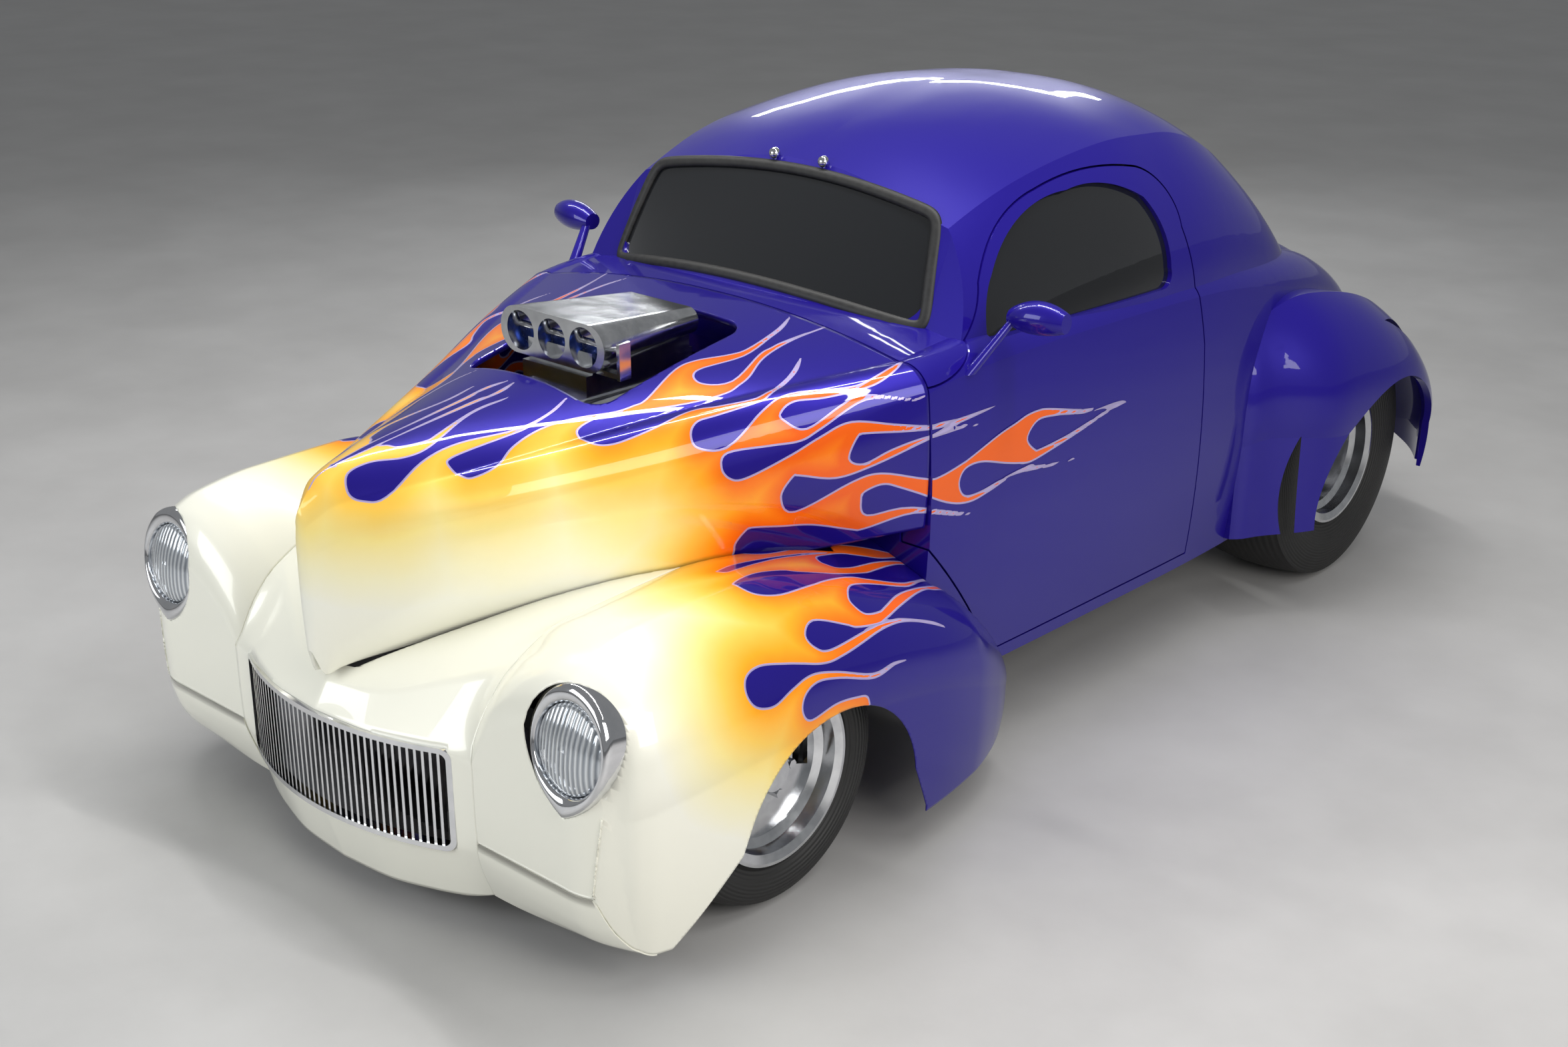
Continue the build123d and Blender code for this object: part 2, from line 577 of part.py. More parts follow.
def rear_section(s, t):
    low_z = s["low_z"] - (60 if t else 0)
    start = (s["in_x"] - (30 if t else 0), s["in_z"] - t)
    top, side, low = (s["crown_x"] - t / 2, s["crown_z"] - t), (s["out_x"] - t, s["out_z"]), (s["low_x"] - t, low_z)
    first = ((start[0] + top[0]) / 2, (start[1] + top[1]) / 2 + 6)
    turn = (top[0] + 0.71 * (side[0] - top[0]), side[1] + 0.71 * (top[1] - side[1]))
    flank = (side[0] - 0.2 * (side[0] - low[0]), (side[1] + low[1]) / 2)
    with BuildSketch(station(s["y"] + (t if s["y"] < 2300 else -t))) as section:
        with BuildLine():
            ThreePointArc(start, first, top)
            ThreePointArc(top, turn, side)
            ThreePointArc(side, flank, low)
            Line(low, (start[0], low[1]))
            Line((start[0], low[1]), start)
        make_face()
    return section.sketch


with BuildPart() as rear_block:
    loft([rear_section(s, 0) for s in spread(REAR_FENDER, REAR_STATIONS)])
with BuildPart() as rear_room:
    loft([rear_section(s, SKIN) for s in spread(REAR_FENDER, REAR_STATIONS)])
with BuildPart() as rear_fender:
    add(rear_block.part)
    add(rear_room.part, mode=Mode.SUBTRACT)
    add(outer, mode=Mode.SUBTRACT)
    with BuildSketch(side_plane(740)):
        with Locations((at(ARCH_Y), ARCH_Z)):
            Circle(ARCH_R)
        with Locations((at(ARCH_Y), ARCH_Z - 200)):
            Rectangle(2 * ARCH_R - 40, 400)
    extrude(amount=300, mode=Mode.SUBTRACT)
    with Locations((650, at(2540), REAR_TYRE_R)):
        Cylinder(WELL_R - 4, 300, rotation=(0, 90, 0), mode=Mode.SUBTRACT)
print("rear fender", len(rear_fender.solids()), [round(s.volume / 1e6, 2) for s in rear_fender.solids()])
keep(rear_fender, "rear_fender_left")
with BuildPart() as rear_fender_right:
    add(mirrored(rear_fender.part))
keep(rear_fender_right, "rear_fender_right")

# Nose panel profiles across the car: under the hood, the brow, and the grille opening's top and foot.
NOSE = [
    dict(
        y=0, a_y=-500, a_z=556, b_y=-562, b_z=538,
        c_y=-616, c_z=506, d_y=-652, d_z=452, e_y=-648, e_z=205, f_y=-606, f_z=66,
    ),
    dict(
        y=140, a_y=-300, a_z=596, b_y=-470, b_z=572,
        c_y=-580, c_z=515, d_y=-640, d_z=451, e_y=-637, e_z=208, f_y=-598, f_z=69,
    ),
    dict(
        y=280, a_y=-60, a_z=650, b_y=-300, b_z=640,
        c_y=-505, c_z=560, d_y=-606, d_z=448, e_y=-603, e_z=214, f_y=-566, f_z=76,
    ),
    dict(
        y=SEAM_X, a_y=160, a_z=688, b_y=-180, b_z=682,
        c_y=-430, c_z=614, d_y=-552, d_z=440, e_y=-552, e_z=225, f_y=-520, f_z=88,
    ),
]


def nose_section(s, x):
    p = {k: (at(s[k + "_y"]), s[k + "_z"]) for k in "abcdef"}
    q = {k: (p[k][0] + SKIN * 0.9, p[k][1] - (SKIN * 0.8 if k in "abc" else 0)) for k in "abcdef"}
    with BuildSketch(side_plane(x)) as section:
        with BuildLine():
            for c in (p, q):
                ThreePointArc(c["a"], c["b"], c["c"])
                Line(c["c"], c["d"])
                Line(c["d"], c["e"])
                Line(c["e"], c["f"])
            Line(p["a"], q["a"])
            Line(p["f"], q["f"])
        make_face()
    return section.sketch


GRILLE = dict(half=372, front=-FRONT_OVERHANG, sag=88, low=207, high=450, rim=12, round=26)
GRILLE_BARS = dict(count=39, w=6.5, deep=18)
GRILLE_R = (GRILLE["half"] ** 2 + GRILLE["sag"] ** 2) / (2 * GRILLE["sag"])
GRILLE_Z = (GRILLE["low"] + GRILLE["high"]) / 2
GRILLE_H = GRILLE["high"] - GRILLE["low"]
GRILLE_AT = at(GRILLE["front"]) + GRILLE_R

halves = [0, 70, 140, 210, 280, 350, SEAM_X - TOUCH]
nose_rows = spread(NOSE, halves)
with BuildPart() as nose_panel:
    loft([nose_section(s, -s["y"]) for s in nose_rows[:0:-1]] + [nose_section(s, s["y"]) for s in nose_rows])
    add(hood_clear.part, mode=Mode.SUBTRACT)
    with BuildSketch(station(-800)):
        with Locations((0, GRILLE_Z)):
            RectangleRounded(2 * GRILLE["half"] + 2 * TOUCH, GRILLE_H + 2 * TOUCH, GRILLE["round"])
    extrude(amount=-400, mode=Mode.SUBTRACT)
print("nose", len(nose_panel.solids()), [round(s.volume / 1e6, 3) for s in nose_panel.solids()])
keep(nose_panel, "nose_panel")

with BuildPart() as grille:
    with BuildSketch(station(-800)):
        with Locations((0, GRILLE_Z)):
            RectangleRounded(2 * GRILLE["half"], GRILLE_H, GRILLE["round"])
            RectangleRounded(
                2 * (GRILLE["half"] - GRILLE["rim"]), GRILLE_H - 2 * GRILLE["rim"], GRILLE["round"] - 10,
                mode=Mode.SUBTRACT
            )
    extrude(amount=-400)
    with Locations((0, GRILLE_AT, GRILLE_Z)):
        Cylinder(GRILLE_R, GRILLE_H, mode=Mode.INTERSECT)
    with Locations((0, GRILLE_AT, GRILLE_Z)):
        Cylinder(GRILLE_R - 26, GRILLE_H + 20, mode=Mode.SUBTRACT)
    reach = math.degrees(math.asin((GRILLE["half"] - GRILLE["rim"]) / GRILLE_R))
    pitch = 2 * reach / (GRILLE_BARS["count"] + 1)
    turns = [pitch * (i + 1) - reach for i in range(GRILLE_BARS["count"])]
    bar_y = -GRILLE_R + 3 + GRILLE_BARS["deep"] / 2
    with Locations(*[Location((0, GRILLE_AT, GRILLE_Z), (0, 0, a)) * Location((0, bar_y, 0)) for a in turns]):
        Box(GRILLE_BARS["w"], GRILLE_BARS["deep"], GRILLE_H - GRILLE["rim"])
print("grille", len(grille.solids()))
keep(grille, "grille")

# Frame: two kicked-up rails and their cross members.
RAIL = dict(x0=300, x1=350)
RAIL_TOP, KICK_LOW, CROSS_LOW = 236, 460, 176
FLOOR_Z, FLOOR_T = 262, 14
TRUNK_Z = 575
with BuildPart() as chassis_frame:
    for sign in (1, -1):
        with BuildSketch(side_plane(RAIL["x0"] if sign > 0 else -RAIL["x1"])):
            with BuildLine():
                Polyline(
                    (at(-440), 170), (at(1990), 170), (at(2220), KICK_LOW), (at(2860), KICK_LOW), (at(3090), 370),
                    (at(3090), 440), (at(2870), 545), (at(2190), 545), (at(1960), RAIL_TOP), (at(-440), RAIL_TOP),
                    close=True
                )
            make_face()
        extrude(amount=RAIL["x1"] - RAIL["x0"])
    for y0, y1, z0, z1 in (
        (-440, -390, 175, RAIL_TOP), (-50, 50, 175, RAIL_TOP), (880, 940, CROSS_LOW, 198),
        (1900, 1950, CROSS_LOW, RAIL_TOP), (2740, 2790, 470, 530), (3040, 3088, 385, 430),
    ):
        box((-RAIL["x0"] - 2, RAIL["x0"] + 2), (y0, y1), (z0, z1))
    for y in (720, 1250, 1780):
        for sign in (1, -1):
            with Locations((sign * (RAIL["x0"] + RAIL["x1"]) / 2, at(y), (RAIL_TOP + FLOOR_Z) / 2)):
                Cylinder(24, FLOOR_Z - RAIL_TOP)
keep(chassis_frame, "chassis_frame")

with BuildPart() as floor_pan:
    box((-588, 588), (634, 2080), (FLOOR_Z, FLOOR_Z + FLOOR_T))
    box((-350, 350), (2066, 2080), (FLOOR_Z, TRUNK_Z + FLOOR_T))
    box((-350, 350), (2066, 3060), (TRUNK_Z, TRUNK_Z + FLOOR_T))
    box((-150, 150), (634, 2070), (FLOOR_Z, 430))
    with Locations((0, at(1340), 300)):
        Box(272, 1480, 232, mode=Mode.SUBTRACT)
    for sign in (1, -1):
        with Locations((sign * 525, at(WHEELBASE), REAR_TYRE_R)):
            Cylinder(WELL_R - 2, 350, rotation=(0, 90, 0))
        with Locations((sign * 535, at(WHEELBASE), REAR_TYRE_R)):
            Cylinder(WELL_R - 16, 342, rotation=(0, 90, 0), mode=Mode.SUBTRACT)
    with Locations((0, at(2560), 150)):
        Box(1300, 2 * (2560 - 2080), 2 * (560 - 150), mode=Mode.SUBTRACT)
    box((-350, 350), (2066, 2080), (FLOOR_Z, TRUNK_Z + FLOOR_T))
    add(outer, mode=Mode.INTERSECT)
    for x0, x1, z1 in ((-60, 60, 400), (RAIL["x0"] - 4, RAIL["x1"] + 4, 552), (-RAIL["x1"] - 4, 4 - RAIL["x0"], 552)):
        with Locations(((x0 + x1) / 2, at(2010), z1 / 2)):
            Box(x1 - x0, 170, z1, mode=Mode.SUBTRACT)
print("floor", len(floor_pan.solids()), [round(s.volume / 1e6, 3) for s in floor_pan.solids()])
keep(floor_pan, "floor_pan")

# Running gear that shows from below and through the wheel arches.
AXLE_Z = FRONT_TYRE_R
ARM_LOW, ARM_HIGH = 200, 424
with BuildPart() as front_suspension:
    for sign in (1, -1):
        box(tuple(sorted((sign * RAIL["x1"], sign * 420))), (-60, 60), (190, 560))
        box(tuple(sorted((sign * 410, sign * (KINGPIN_X + 17)))), (-28, 28), (184, ARM_LOW))
        box(tuple(sorted((sign * 410, sign * (KINGPIN_X + 17)))), (-24, 24), (ARM_HIGH, 438))
        with Locations(Location((sign * 500, at(0), 370), (0, sign * -24, 0))):
            Cylinder(26, 330)
    with Locations((0, at(130), 215)):
        Cylinder(24, 2 * RAIL["x0"], rotation=(0, 90, 0))
    with Locations((0, at(130), 215)):
        Box(80, 70, 70)
print("front_suspension", len(front_suspension.solids()))
keep(front_suspension, "front_suspension")

with BuildPart() as knuckle:
    box((KINGPIN_X - 16, KINGPIN_X + 16), (-24, 24), (206, 416))
    for z0, z1 in ((ARM_LOW + SEAT, 208), (414, ARM_HIGH - SEAT)):
        with Locations((KINGPIN_X, at(0), (z0 + z1) / 2)):
            Cylinder(16, z1 - z0)
    hub_x = (KINGPIN_X + 14, FRONT_PAD_X - SEAT)
    with Locations((sum(hub_x) / 2, at(0), AXLE_Z)):
        Cylinder(40, hub_x[1] - hub_x[0], rotation=(0, 90, 0))
    box((KINGPIN_X - 14, KINGPIN_X + 10), (20, 110), (236, 262))
    box((KINGPIN_X - 10, KINGPIN_X + 14), (-110, -20), (280, 342))
keep(knuckle, "knuckle_left")
with BuildPart() as knuckle_right:
    add(mirrored(knuckle.part))
keep(knuckle_right, "knuckle_right")

SHAFT_Z = 356
AXLE_NOSE = WHEELBASE - 150
with BuildPart() as rear_axle:
    with Locations((0, at(WHEELBASE), REAR_TYRE_R)):
        Cylinder(38, 2 * 475, rotation=(0, 90, 0))
        Sphere(125)
        Cylinder(60, 2 * (WHEELBASE - AXLE_NOSE), rotation=(90, 0, 0))
    drum_x = (470, REAR_PAD_X - SEAT)
    for sign in (1, -1):
        with Locations((sign * sum(drum_x) / 2, at(WHEELBASE), REAR_TYRE_R)):
            Cylinder(140, drum_x[1] - drum_x[0], rotation=(0, 90, 0))
        with Locations((sign * (RAIL["x0"] + RAIL["x1"]) / 2, at(WHEELBASE), (REAR_TYRE_R + 20 + KICK_LOW) / 2)):
            Cylinder(24, KICK_LOW - REAR_TYRE_R - 20)
        with Locations(Location((sign * 225, at(WHEELBASE + 90), 460), (sign * -14, 0, 0))):
            Cylinder(30, 190)
        box(tuple(sorted((sign * 200, sign * 250))), (2500, 2660), (365, 395))
print("rear_axle", len(rear_axle.solids()))
keep(rear_axle, "rear_axle")

ENGINE_TOP = 900.0
with BuildPart() as engine_block:
    box((-235, 235), (-90, 480), (300, ENGINE_TOP))
    for x in (-170, 170):
        box((x - 30, x + 30), (-40, 40), (RAIL_TOP, 310))
    box((-130, 130), (480, 586), (290, 640))
    fillet(engine_block.edges().filter_by(Axis.Y).group_by(Axis.Z)[-1], 25)
keep(engine_block, "engine_block")
with BuildPart() as driveline:
    box((-110, 110), (662, 1060), (200, 400))
    chamfer(driveline.edges().group_by(Axis.Y)[-1], 40)
    with Locations((0, at((1040 + AXLE_NOSE) / 2), SHAFT_Z)):
        Cylinder(34, AXLE_NOSE - 1040, rotation=(90, 0, 0))
keep(driveline, "driveline")
with BuildPart() as blower:
    box((-140, 140), (40, 440), (ENGINE_TOP, 1010))
    fillet(blower.edges().filter_by(Axis.Y), 30)
    box((-110, 110), (70, 410), (1000, 1060))
keep(blower, "blower")
with BuildPart() as radiator:
    box((-290, 290), (-440, -392), (RAIL_TOP, 530))
keep(radiator, "radiator")

# Scoop: a flattened oval mouth with three round openings, falling and narrowing to the rear.
MOUTH = dict(y=66, x=178, low=1074, high=1186, hole_r=47, pitch=108, wall=5)
TAIL = dict(y=412, x=130, low=1092, high=1156)
with BuildPart() as scoop:
    for m in (MOUTH, TAIL):
        with BuildSketch(station(m["y"])):
            with Locations((0, (m["low"] + m["high"]) / 2)):
                RectangleRounded(2 * m["x"], m["high"] - m["low"], (m["high"] - m["low"]) / 2 - 1)
    loft()
    with BuildSketch(station(MOUTH["y"] - 1)):
        with Locations(*[(MOUTH["pitch"] * k, (MOUTH["low"] + MOUTH["high"]) / 2) for k in (-1, 0, 1)]):
            Circle(MOUTH["hole_r"])
    extrude(amount=-75, mode=Mode.SUBTRACT)
    with Locations((0, at(MOUTH["y"] + 40), (MOUTH["low"] + MOUTH["high"]) / 2)):
        Cylinder(7, 2 * MOUTH["x"] + 24, rotation=(0, 90, 0))
    with BuildSketch(station(MOUTH["y"] + 44)):
        with Locations(*[(MOUTH["pitch"] * k, (MOUTH["low"] + MOUTH["high"]) / 2) for k in (-1, 0, 1)]):
            Circle(MOUTH["hole_r"] + 1)
    extrude(amount=4)
    box((-110, 110), (90, 400), (1060, 1110))
    box((MOUTH["x"] + 14, MOUTH["x"] + 24), (90, 124), (1064, 1150))
    box((MOUTH["x"] - 70, MOUTH["x"] + 24), (96, 120), (1064, 1076))
print("scoop", len(scoop.solids()))
keep(scoop, "scoop")

with BuildPart() as exhaust:
    for sign in (1, -1):
        with Locations((sign * 215, at(1200), 148)):
            Cylinder(26, 1500, rotation=(90, 0, 0))
        with Locations((sign * 215, at(1500), 150)):
            Box(120, 380, 68)
        box((sign * 215 - 10, sign * 215 + 10), (1915, 1935), (160, CROSS_LOW))
        box((sign * 215 - 10, sign * 215 + 10), (900, 920), (160, CROSS_LOW))
keep(exhaust, "exhaust")

with BuildPart() as seat:
    with BuildSketch(side_plane(153)):
        with BuildLine():
            Polyline(
                (at(1200), FLOOR_Z + FLOOR_T), (at(1760), FLOOR_Z + FLOOR_T), (at(1960), 960), (at(1860), 985),
                (at(1690), 500), (at(1230), 470), close=True
            )
        make_face()
    extrude(amount=410)
    fillet([e for e in seat.edges() if e.center().Z > 300], 28)
with BuildPart() as seats:
    add(seat.part)
    add(mirrored(seat.part))
print("seats", len(seats.solids()))
keep(seats, "seats")
with BuildPart() as dashboard:
    box((-610, 610), (590 + WALL, 770), (880, 1030))
    fillet(dashboard.edges().filter_by(Axis.X), 30)
keep(dashboard, "dashboard")

WHEEL = dict(x=335, y=1010, z=905, tilt=62, r=180, tube=14)
TILT = math.radians(WHEEL["tilt"])
wheel_plane = Plane(
    origin=(WHEEL["x"], at(WHEEL["y"]), WHEEL["z"]), x_dir=(1, 0, 0), z_dir=(0, math.sin(TILT), math.cos(TILT))
)
with BuildPart() as steering_column:
    with BuildSketch(wheel_plane.offset(-20 - SEAT)):
        Circle(24)
    extrude(amount=-470)
    with Locations((0, at(590 + WALL) - 100, 700)):
        Box(1000, 200, 400, mode=Mode.SUBTRACT)
print("column", len(steering_column.solids()), [s.bounding_box() for s in steering_column.solids()])
keep(steering_column, "steering_column")
with BuildPart() as steering_wheel:
    with BuildSketch(Plane(origin=wheel_plane.origin, x_dir=wheel_plane.x_dir, z_dir=wheel_plane.y_dir)):
        with Locations((WHEEL["r"], 0)):
            Circle(WHEEL["tube"])
    revolve(axis=Axis(wheel_plane.origin, wheel_plane.z_dir))
    with BuildSketch(wheel_plane.offset(-10)):
        Circle(38)
        for a in (90, 210, 330):
            with Locations(Location((0, 0, 0), (0, 0, a))):
                with Locations((WHEEL["r"] / 2, 0)):
                    Rectangle(WHEEL["r"], 26)
    extrude(amount=8)
    with BuildSketch(wheel_plane.offset(-20)):
        Circle(24)
    extrude(amount=24)
print("wheel", len(steering_wheel.solids()))
keep(steering_wheel, "steering_wheel")

# Door mirrors: a rounded head on a leaning arm from the door.
with BuildPart() as mirror_left:
    with BuildSketch(Plane.YZ.offset(722)):
        with Locations((at(852), 1160)):
            Ellipse(26, 22)
    with BuildSketch(Plane.YZ.offset(795)):
        with Locations((at(852), 1168)):
            Ellipse(38, 40)
    with BuildSketch(Plane.YZ.offset(868)):
        with Locations((at(860), 1166)):
            Ellipse(20, 24)
    loft()
    with BuildSketch(Plane.XY.offset(1040)):
        with Locations((690, at(735))):
            Ellipse(14, 20)
    with BuildSketch(Plane(origin=(735, at(845), 1160), z_dir=(0.35, 0.8, 0.55), x_dir=(1, 0, -0.6))):
        Ellipse(9, 12)
    loft()
    add(door.part, mode=Mode.SUBTRACT)
    add(outer, mode=Mode.SUBTRACT)
print("mirror", len(mirror_left.solids()), [round(s.volume / 1e3) for s in mirror_left.solids()])
keep(mirror_left, "mirror_left")
with BuildPart() as mirror_right:
    add(mirrored(mirror_left.part))
keep(mirror_right, "mirror_right")

with BuildPart() as tail_lamp:
    with Locations((660, at(2942), 600)):
        Cylinder(36, 100, rotation=(90, 0, 0))
    add(rear_block.part, mode=Mode.SUBTRACT)
    add(outer, mode=Mode.SUBTRACT)
with BuildPart() as tail_lamps:
    add(tail_lamp.part)
    add(mirrored(tail_lamp.part))
print("tail", len(tail_lamps.solids()), [(round(s.volume / 1e3), s.center()) for s in tail_lamps.solids()])
keep(tail_lamps, "tail_lamps")


# Rims are turned profiles: distance in from the outer lip, and radius.
def rim_profile(width, x_lip):
    lip, seat, well = LIP_R, 190, 166
    outer_line = [
        (0, lip), (9, lip), (13, seat), (38, seat - 2), (52, well), (width - 56, well), (width - 42, seat - 2),
        (width - 13, seat), (width - 9, lip), (width, lip),
    ]
    inner_line = [
        (width, lip - 7), (width - 12, seat - 9), (width - 46, seat - 11), (width - 60, well - 8), (50, well - 8),
        (40, seat - 12), (8, seat - 9), (0, lip - 7),
    ]
    return [(x_lip - u, r) for u, r in outer_line + inner_line]


def make_wheel(name, x_lip, width, disc_u, z, y, tyre_r, tyre_w, tyre_x):
    with BuildPart() as rim:
        with BuildSketch(Plane.XZ.offset(-at(y))):
            with BuildLine():
                Polyline(*[(x, z + r) for x, r in rim_profile(width, x_lip)], close=True)
            make_face()
        revolve(axis=Axis((0, at(y), z), (1, 0, 0)))
        face = Plane(origin=(x_lip - disc_u, at(y), z), x_dir=(0, 1, 0), z_dir=(1, 0, 0))
        with BuildSketch(face):
            Circle(160)
            with PolarLocations(0, 5):
                with Locations(Location((0, 0, 0), (0, 0, 18))):
                    with BuildLine(mode=Mode.PRIVATE) as window:
                        Polyline((88, -20), (138, -38), (138, 38), (88, 20), close=True)
                    make_face(window.edges(), mode=Mode.SUBTRACT)
        extrude(amount=-DISC_T)
        with BuildSketch(face):
            Circle(76)
        extrude(amount=10)
        with BuildSketch(face):
            Circle(44)
        extrude(amount=34, taper=6)
        with BuildSketch(face):
            with PolarLocations(60, 5):
                RegularPolygon(11, 6)
        extrude(amount=28)
        with BuildSketch(face.offset(-DISC_T)):
            Circle(70)
        extrude(amount=-PAD_T)
    print(name, "rim", len(rim.solids()))
    with BuildPart() as tyre:
        half, wide = (width - 28) / 2, tyre_w / 2
        with BuildSketch(Plane.XZ.offset(-at(y))):
            with BuildLine():
                base = x_lip - width / 2
                bead_in, bead_out = (base - half - 1, z + 209), (base + half + 1, z + 209)
                tread_in, tread_out = (tyre_x - wide + 14, z + tyre_r - 16), (tyre_x + wide - 14, z + tyre_r - 16)
                side_z = z + (209 + tyre_r) / 2
                Polyline((base + half, z + 191), (base - half, z + 191), bead_in)
                ThreePointArc(bead_in, (tyre_x - wide, side_z), tread_in)
                ThreePointArc(tread_in, (tyre_x, z + tyre_r), tread_out)
                ThreePointArc(tread_out, (tyre_x + wide, side_z), bead_out)
                Line(bead_out, (base + half, z + 191))
            make_face()
        revolve(axis=Axis((0, at(y), z), (1, 0, 0)))
    print(name, "tyre", len(tyre.solids()), tyre.part.bounding_box())
    keep(rim, "rim_" + name + "_left")
    keep(tyre, "tyre_" + name + "_left")
    with BuildPart() as rim_right:
        add(mirrored(rim.part))
    keep(rim_right, "rim_" + name + "_right")
    with BuildPart() as tyre_right:
        add(mirrored(tyre.part))
    keep(tyre_right, "tyre_" + name + "_right")


make_wheel("front", FRONT_LIP_X, FRONT_RIM_W, FRONT_DISC, FRONT_TYRE_R, 0, FRONT_TYRE_R, FRONT_TYRE_W, FRONT_TYRE_X)
make_wheel("rear", REAR_LIP_X, REAR_RIM_W, REAR_DISC, REAR_TYRE_R, WHEELBASE, REAR_TYRE_R, REAR_TYRE_W, REAR_TYRE_X)
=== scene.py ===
import bpy
import math
import numpy as np
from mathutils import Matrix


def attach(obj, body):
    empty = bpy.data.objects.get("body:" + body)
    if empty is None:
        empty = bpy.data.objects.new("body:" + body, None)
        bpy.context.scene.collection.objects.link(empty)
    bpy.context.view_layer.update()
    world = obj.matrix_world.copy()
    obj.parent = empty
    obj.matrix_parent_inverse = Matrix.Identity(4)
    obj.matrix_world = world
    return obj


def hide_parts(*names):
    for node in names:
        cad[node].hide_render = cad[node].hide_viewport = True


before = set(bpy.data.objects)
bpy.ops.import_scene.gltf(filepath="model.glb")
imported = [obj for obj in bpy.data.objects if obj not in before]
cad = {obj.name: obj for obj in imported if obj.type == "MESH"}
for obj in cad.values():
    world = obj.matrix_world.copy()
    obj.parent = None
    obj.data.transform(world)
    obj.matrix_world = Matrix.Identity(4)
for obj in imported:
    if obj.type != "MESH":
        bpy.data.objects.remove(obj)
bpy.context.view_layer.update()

# The view of the photo: a long lens from the car's front left, a little above the roof,
# with the whole car on a pale studio floor under large soft lamps.
camera = bpy.data.objects.new("camera", bpy.data.cameras.new("camera"))
bpy.context.collection.objects.link(camera)
camera.location = (3.4638, -4.2320, 2.4280)
camera.rotation_euler = (math.radians(90 - 21.136), 0, math.radians(42.72))
camera.data.lens = 47.1
bpy.context.scene.camera = camera
bpy.context.scene.view_settings.view_transform = "Standard"

# Studio light: two long strip lamps under the ceiling draw thin lines of light along roof and hood,
# wide soft lamps fill the left side and the front, and a low strip behind lights the tail.
def soft_lamp(name, place, aim, size, watts, colour):
    """One square lamp of that size in metres at place, turned to face aim."""
    lamp = bpy.data.objects.new(name, bpy.data.lights.new(name, "AREA"))
    lamp.data.shape, lamp.data.size, lamp.data.size_y = "RECTANGLE", size[0], size[1]
    lamp.data.energy, lamp.data.color = watts, colour
    lamp.location = place
    direction = np.array(aim, float) - np.array(place, float)
    flat = math.hypot(direction[0], direction[1])
    tilt, heading = math.atan2(flat, -direction[2]), math.atan2(direction[1], direction[0])
    lamp.rotation_euler = (tilt, 0, heading - math.pi / 2)
    bpy.context.collection.objects.link(lamp)


soft_lamp("lamp_top_left", (1.1, -0.3, 4.4), (0, 0, 0), (0.12, 5.4), 100, (1.0, 0.99, 0.97))
soft_lamp("lamp_top_right", (-1.1, -0.3, 4.4), (0, 0, 0), (0.12, 5.4), 100, (1.0, 0.99, 0.97))
soft_lamp("lamp_left", (4.6, -1.5, 2.6), (0, 0, 0.6), (3.2, 2.2), 120, (1.0, 0.98, 0.95))
soft_lamp("lamp_front", (-1.2, -5.6, 2.4), (0, -1, 0.6), (3.6, 2.2), 110, (0.95, 0.98, 1.0))
soft_lamp("lamp_back", (-3.6, 4.4, 3.0), (0, 0.5, 0.8), (3.4, 0.22), 60, (0.96, 0.98, 1.0))

# Floor and room: a large pale floor, faintly mottled like painted concrete, under an even pale room light.
# Both are stage only and aren't part of the car.
def pick(nodes, kind, **values):
    """A new shader node of that kind with its input sockets set by name, spaces written as underscores."""
    node = nodes.new(kind)
    for key, value in values.items():
        node.inputs[key.replace("_", " ")].default_value = value
    return node


def new_material(name, colour, metal=0.0, rough=0.4, **more):
    """A principled material and its parts: material, nodes, links and the principled node."""
    material = bpy.data.materials.new(name)
    material.use_nodes = True
    nodes, links = material.node_tree.nodes, material.node_tree.links
    surface = nodes["Principled BSDF"]
    surface.inputs["Base Color"].default_value = (*colour, 1)
    surface.inputs["Metallic"].default_value = metal
    surface.inputs["Roughness"].default_value = rough
    for key, value in more.items():
        surface.inputs[key.replace("_", " ")].default_value = value
    return material, nodes, links, surface


def mottle(parts, scale, dark, light, rough_low, rough_high, height=0.0, detail=6.0):
    """Breaks up a material with noise in object space: colour between dark and light, roughness between low and
    high, and small bumps of that height in metres."""
    material, nodes, links, surface = parts
    place = nodes.new("ShaderNodeTexCoord")
    noise = pick(nodes, "ShaderNodeTexNoise", Scale=scale, Detail=detail, Roughness=0.6)
    links.new(place.outputs["Object"], noise.inputs["Vector"])
    ramp = nodes.new("ShaderNodeValToRGB")
    ramp.color_ramp.elements[0].position, ramp.color_ramp.elements[1].position = 0.35, 0.68
    ramp.color_ramp.elements[0].color, ramp.color_ramp.elements[1].color = (*dark, 1), (*light, 1)
    links.new(noise.outputs["Fac"], ramp.inputs["Fac"])
    links.new(ramp.outputs["Color"], surface.inputs["Base Color"])
    span = pick(nodes, "ShaderNodeMapRange", To_Min=rough_low, To_Max=rough_high)
    links.new(noise.outputs["Fac"], span.inputs["Value"])
    links.new(span.outputs["Result"], surface.inputs["Roughness"])
    if height:
        bump = pick(nodes, "ShaderNodeBump", Strength=0.6, Distance=height)
        links.new(noise.outputs["Fac"], bump.inputs["Height"])
        links.new(bump.outputs["Normal"], surface.inputs["Normal"])
    return material


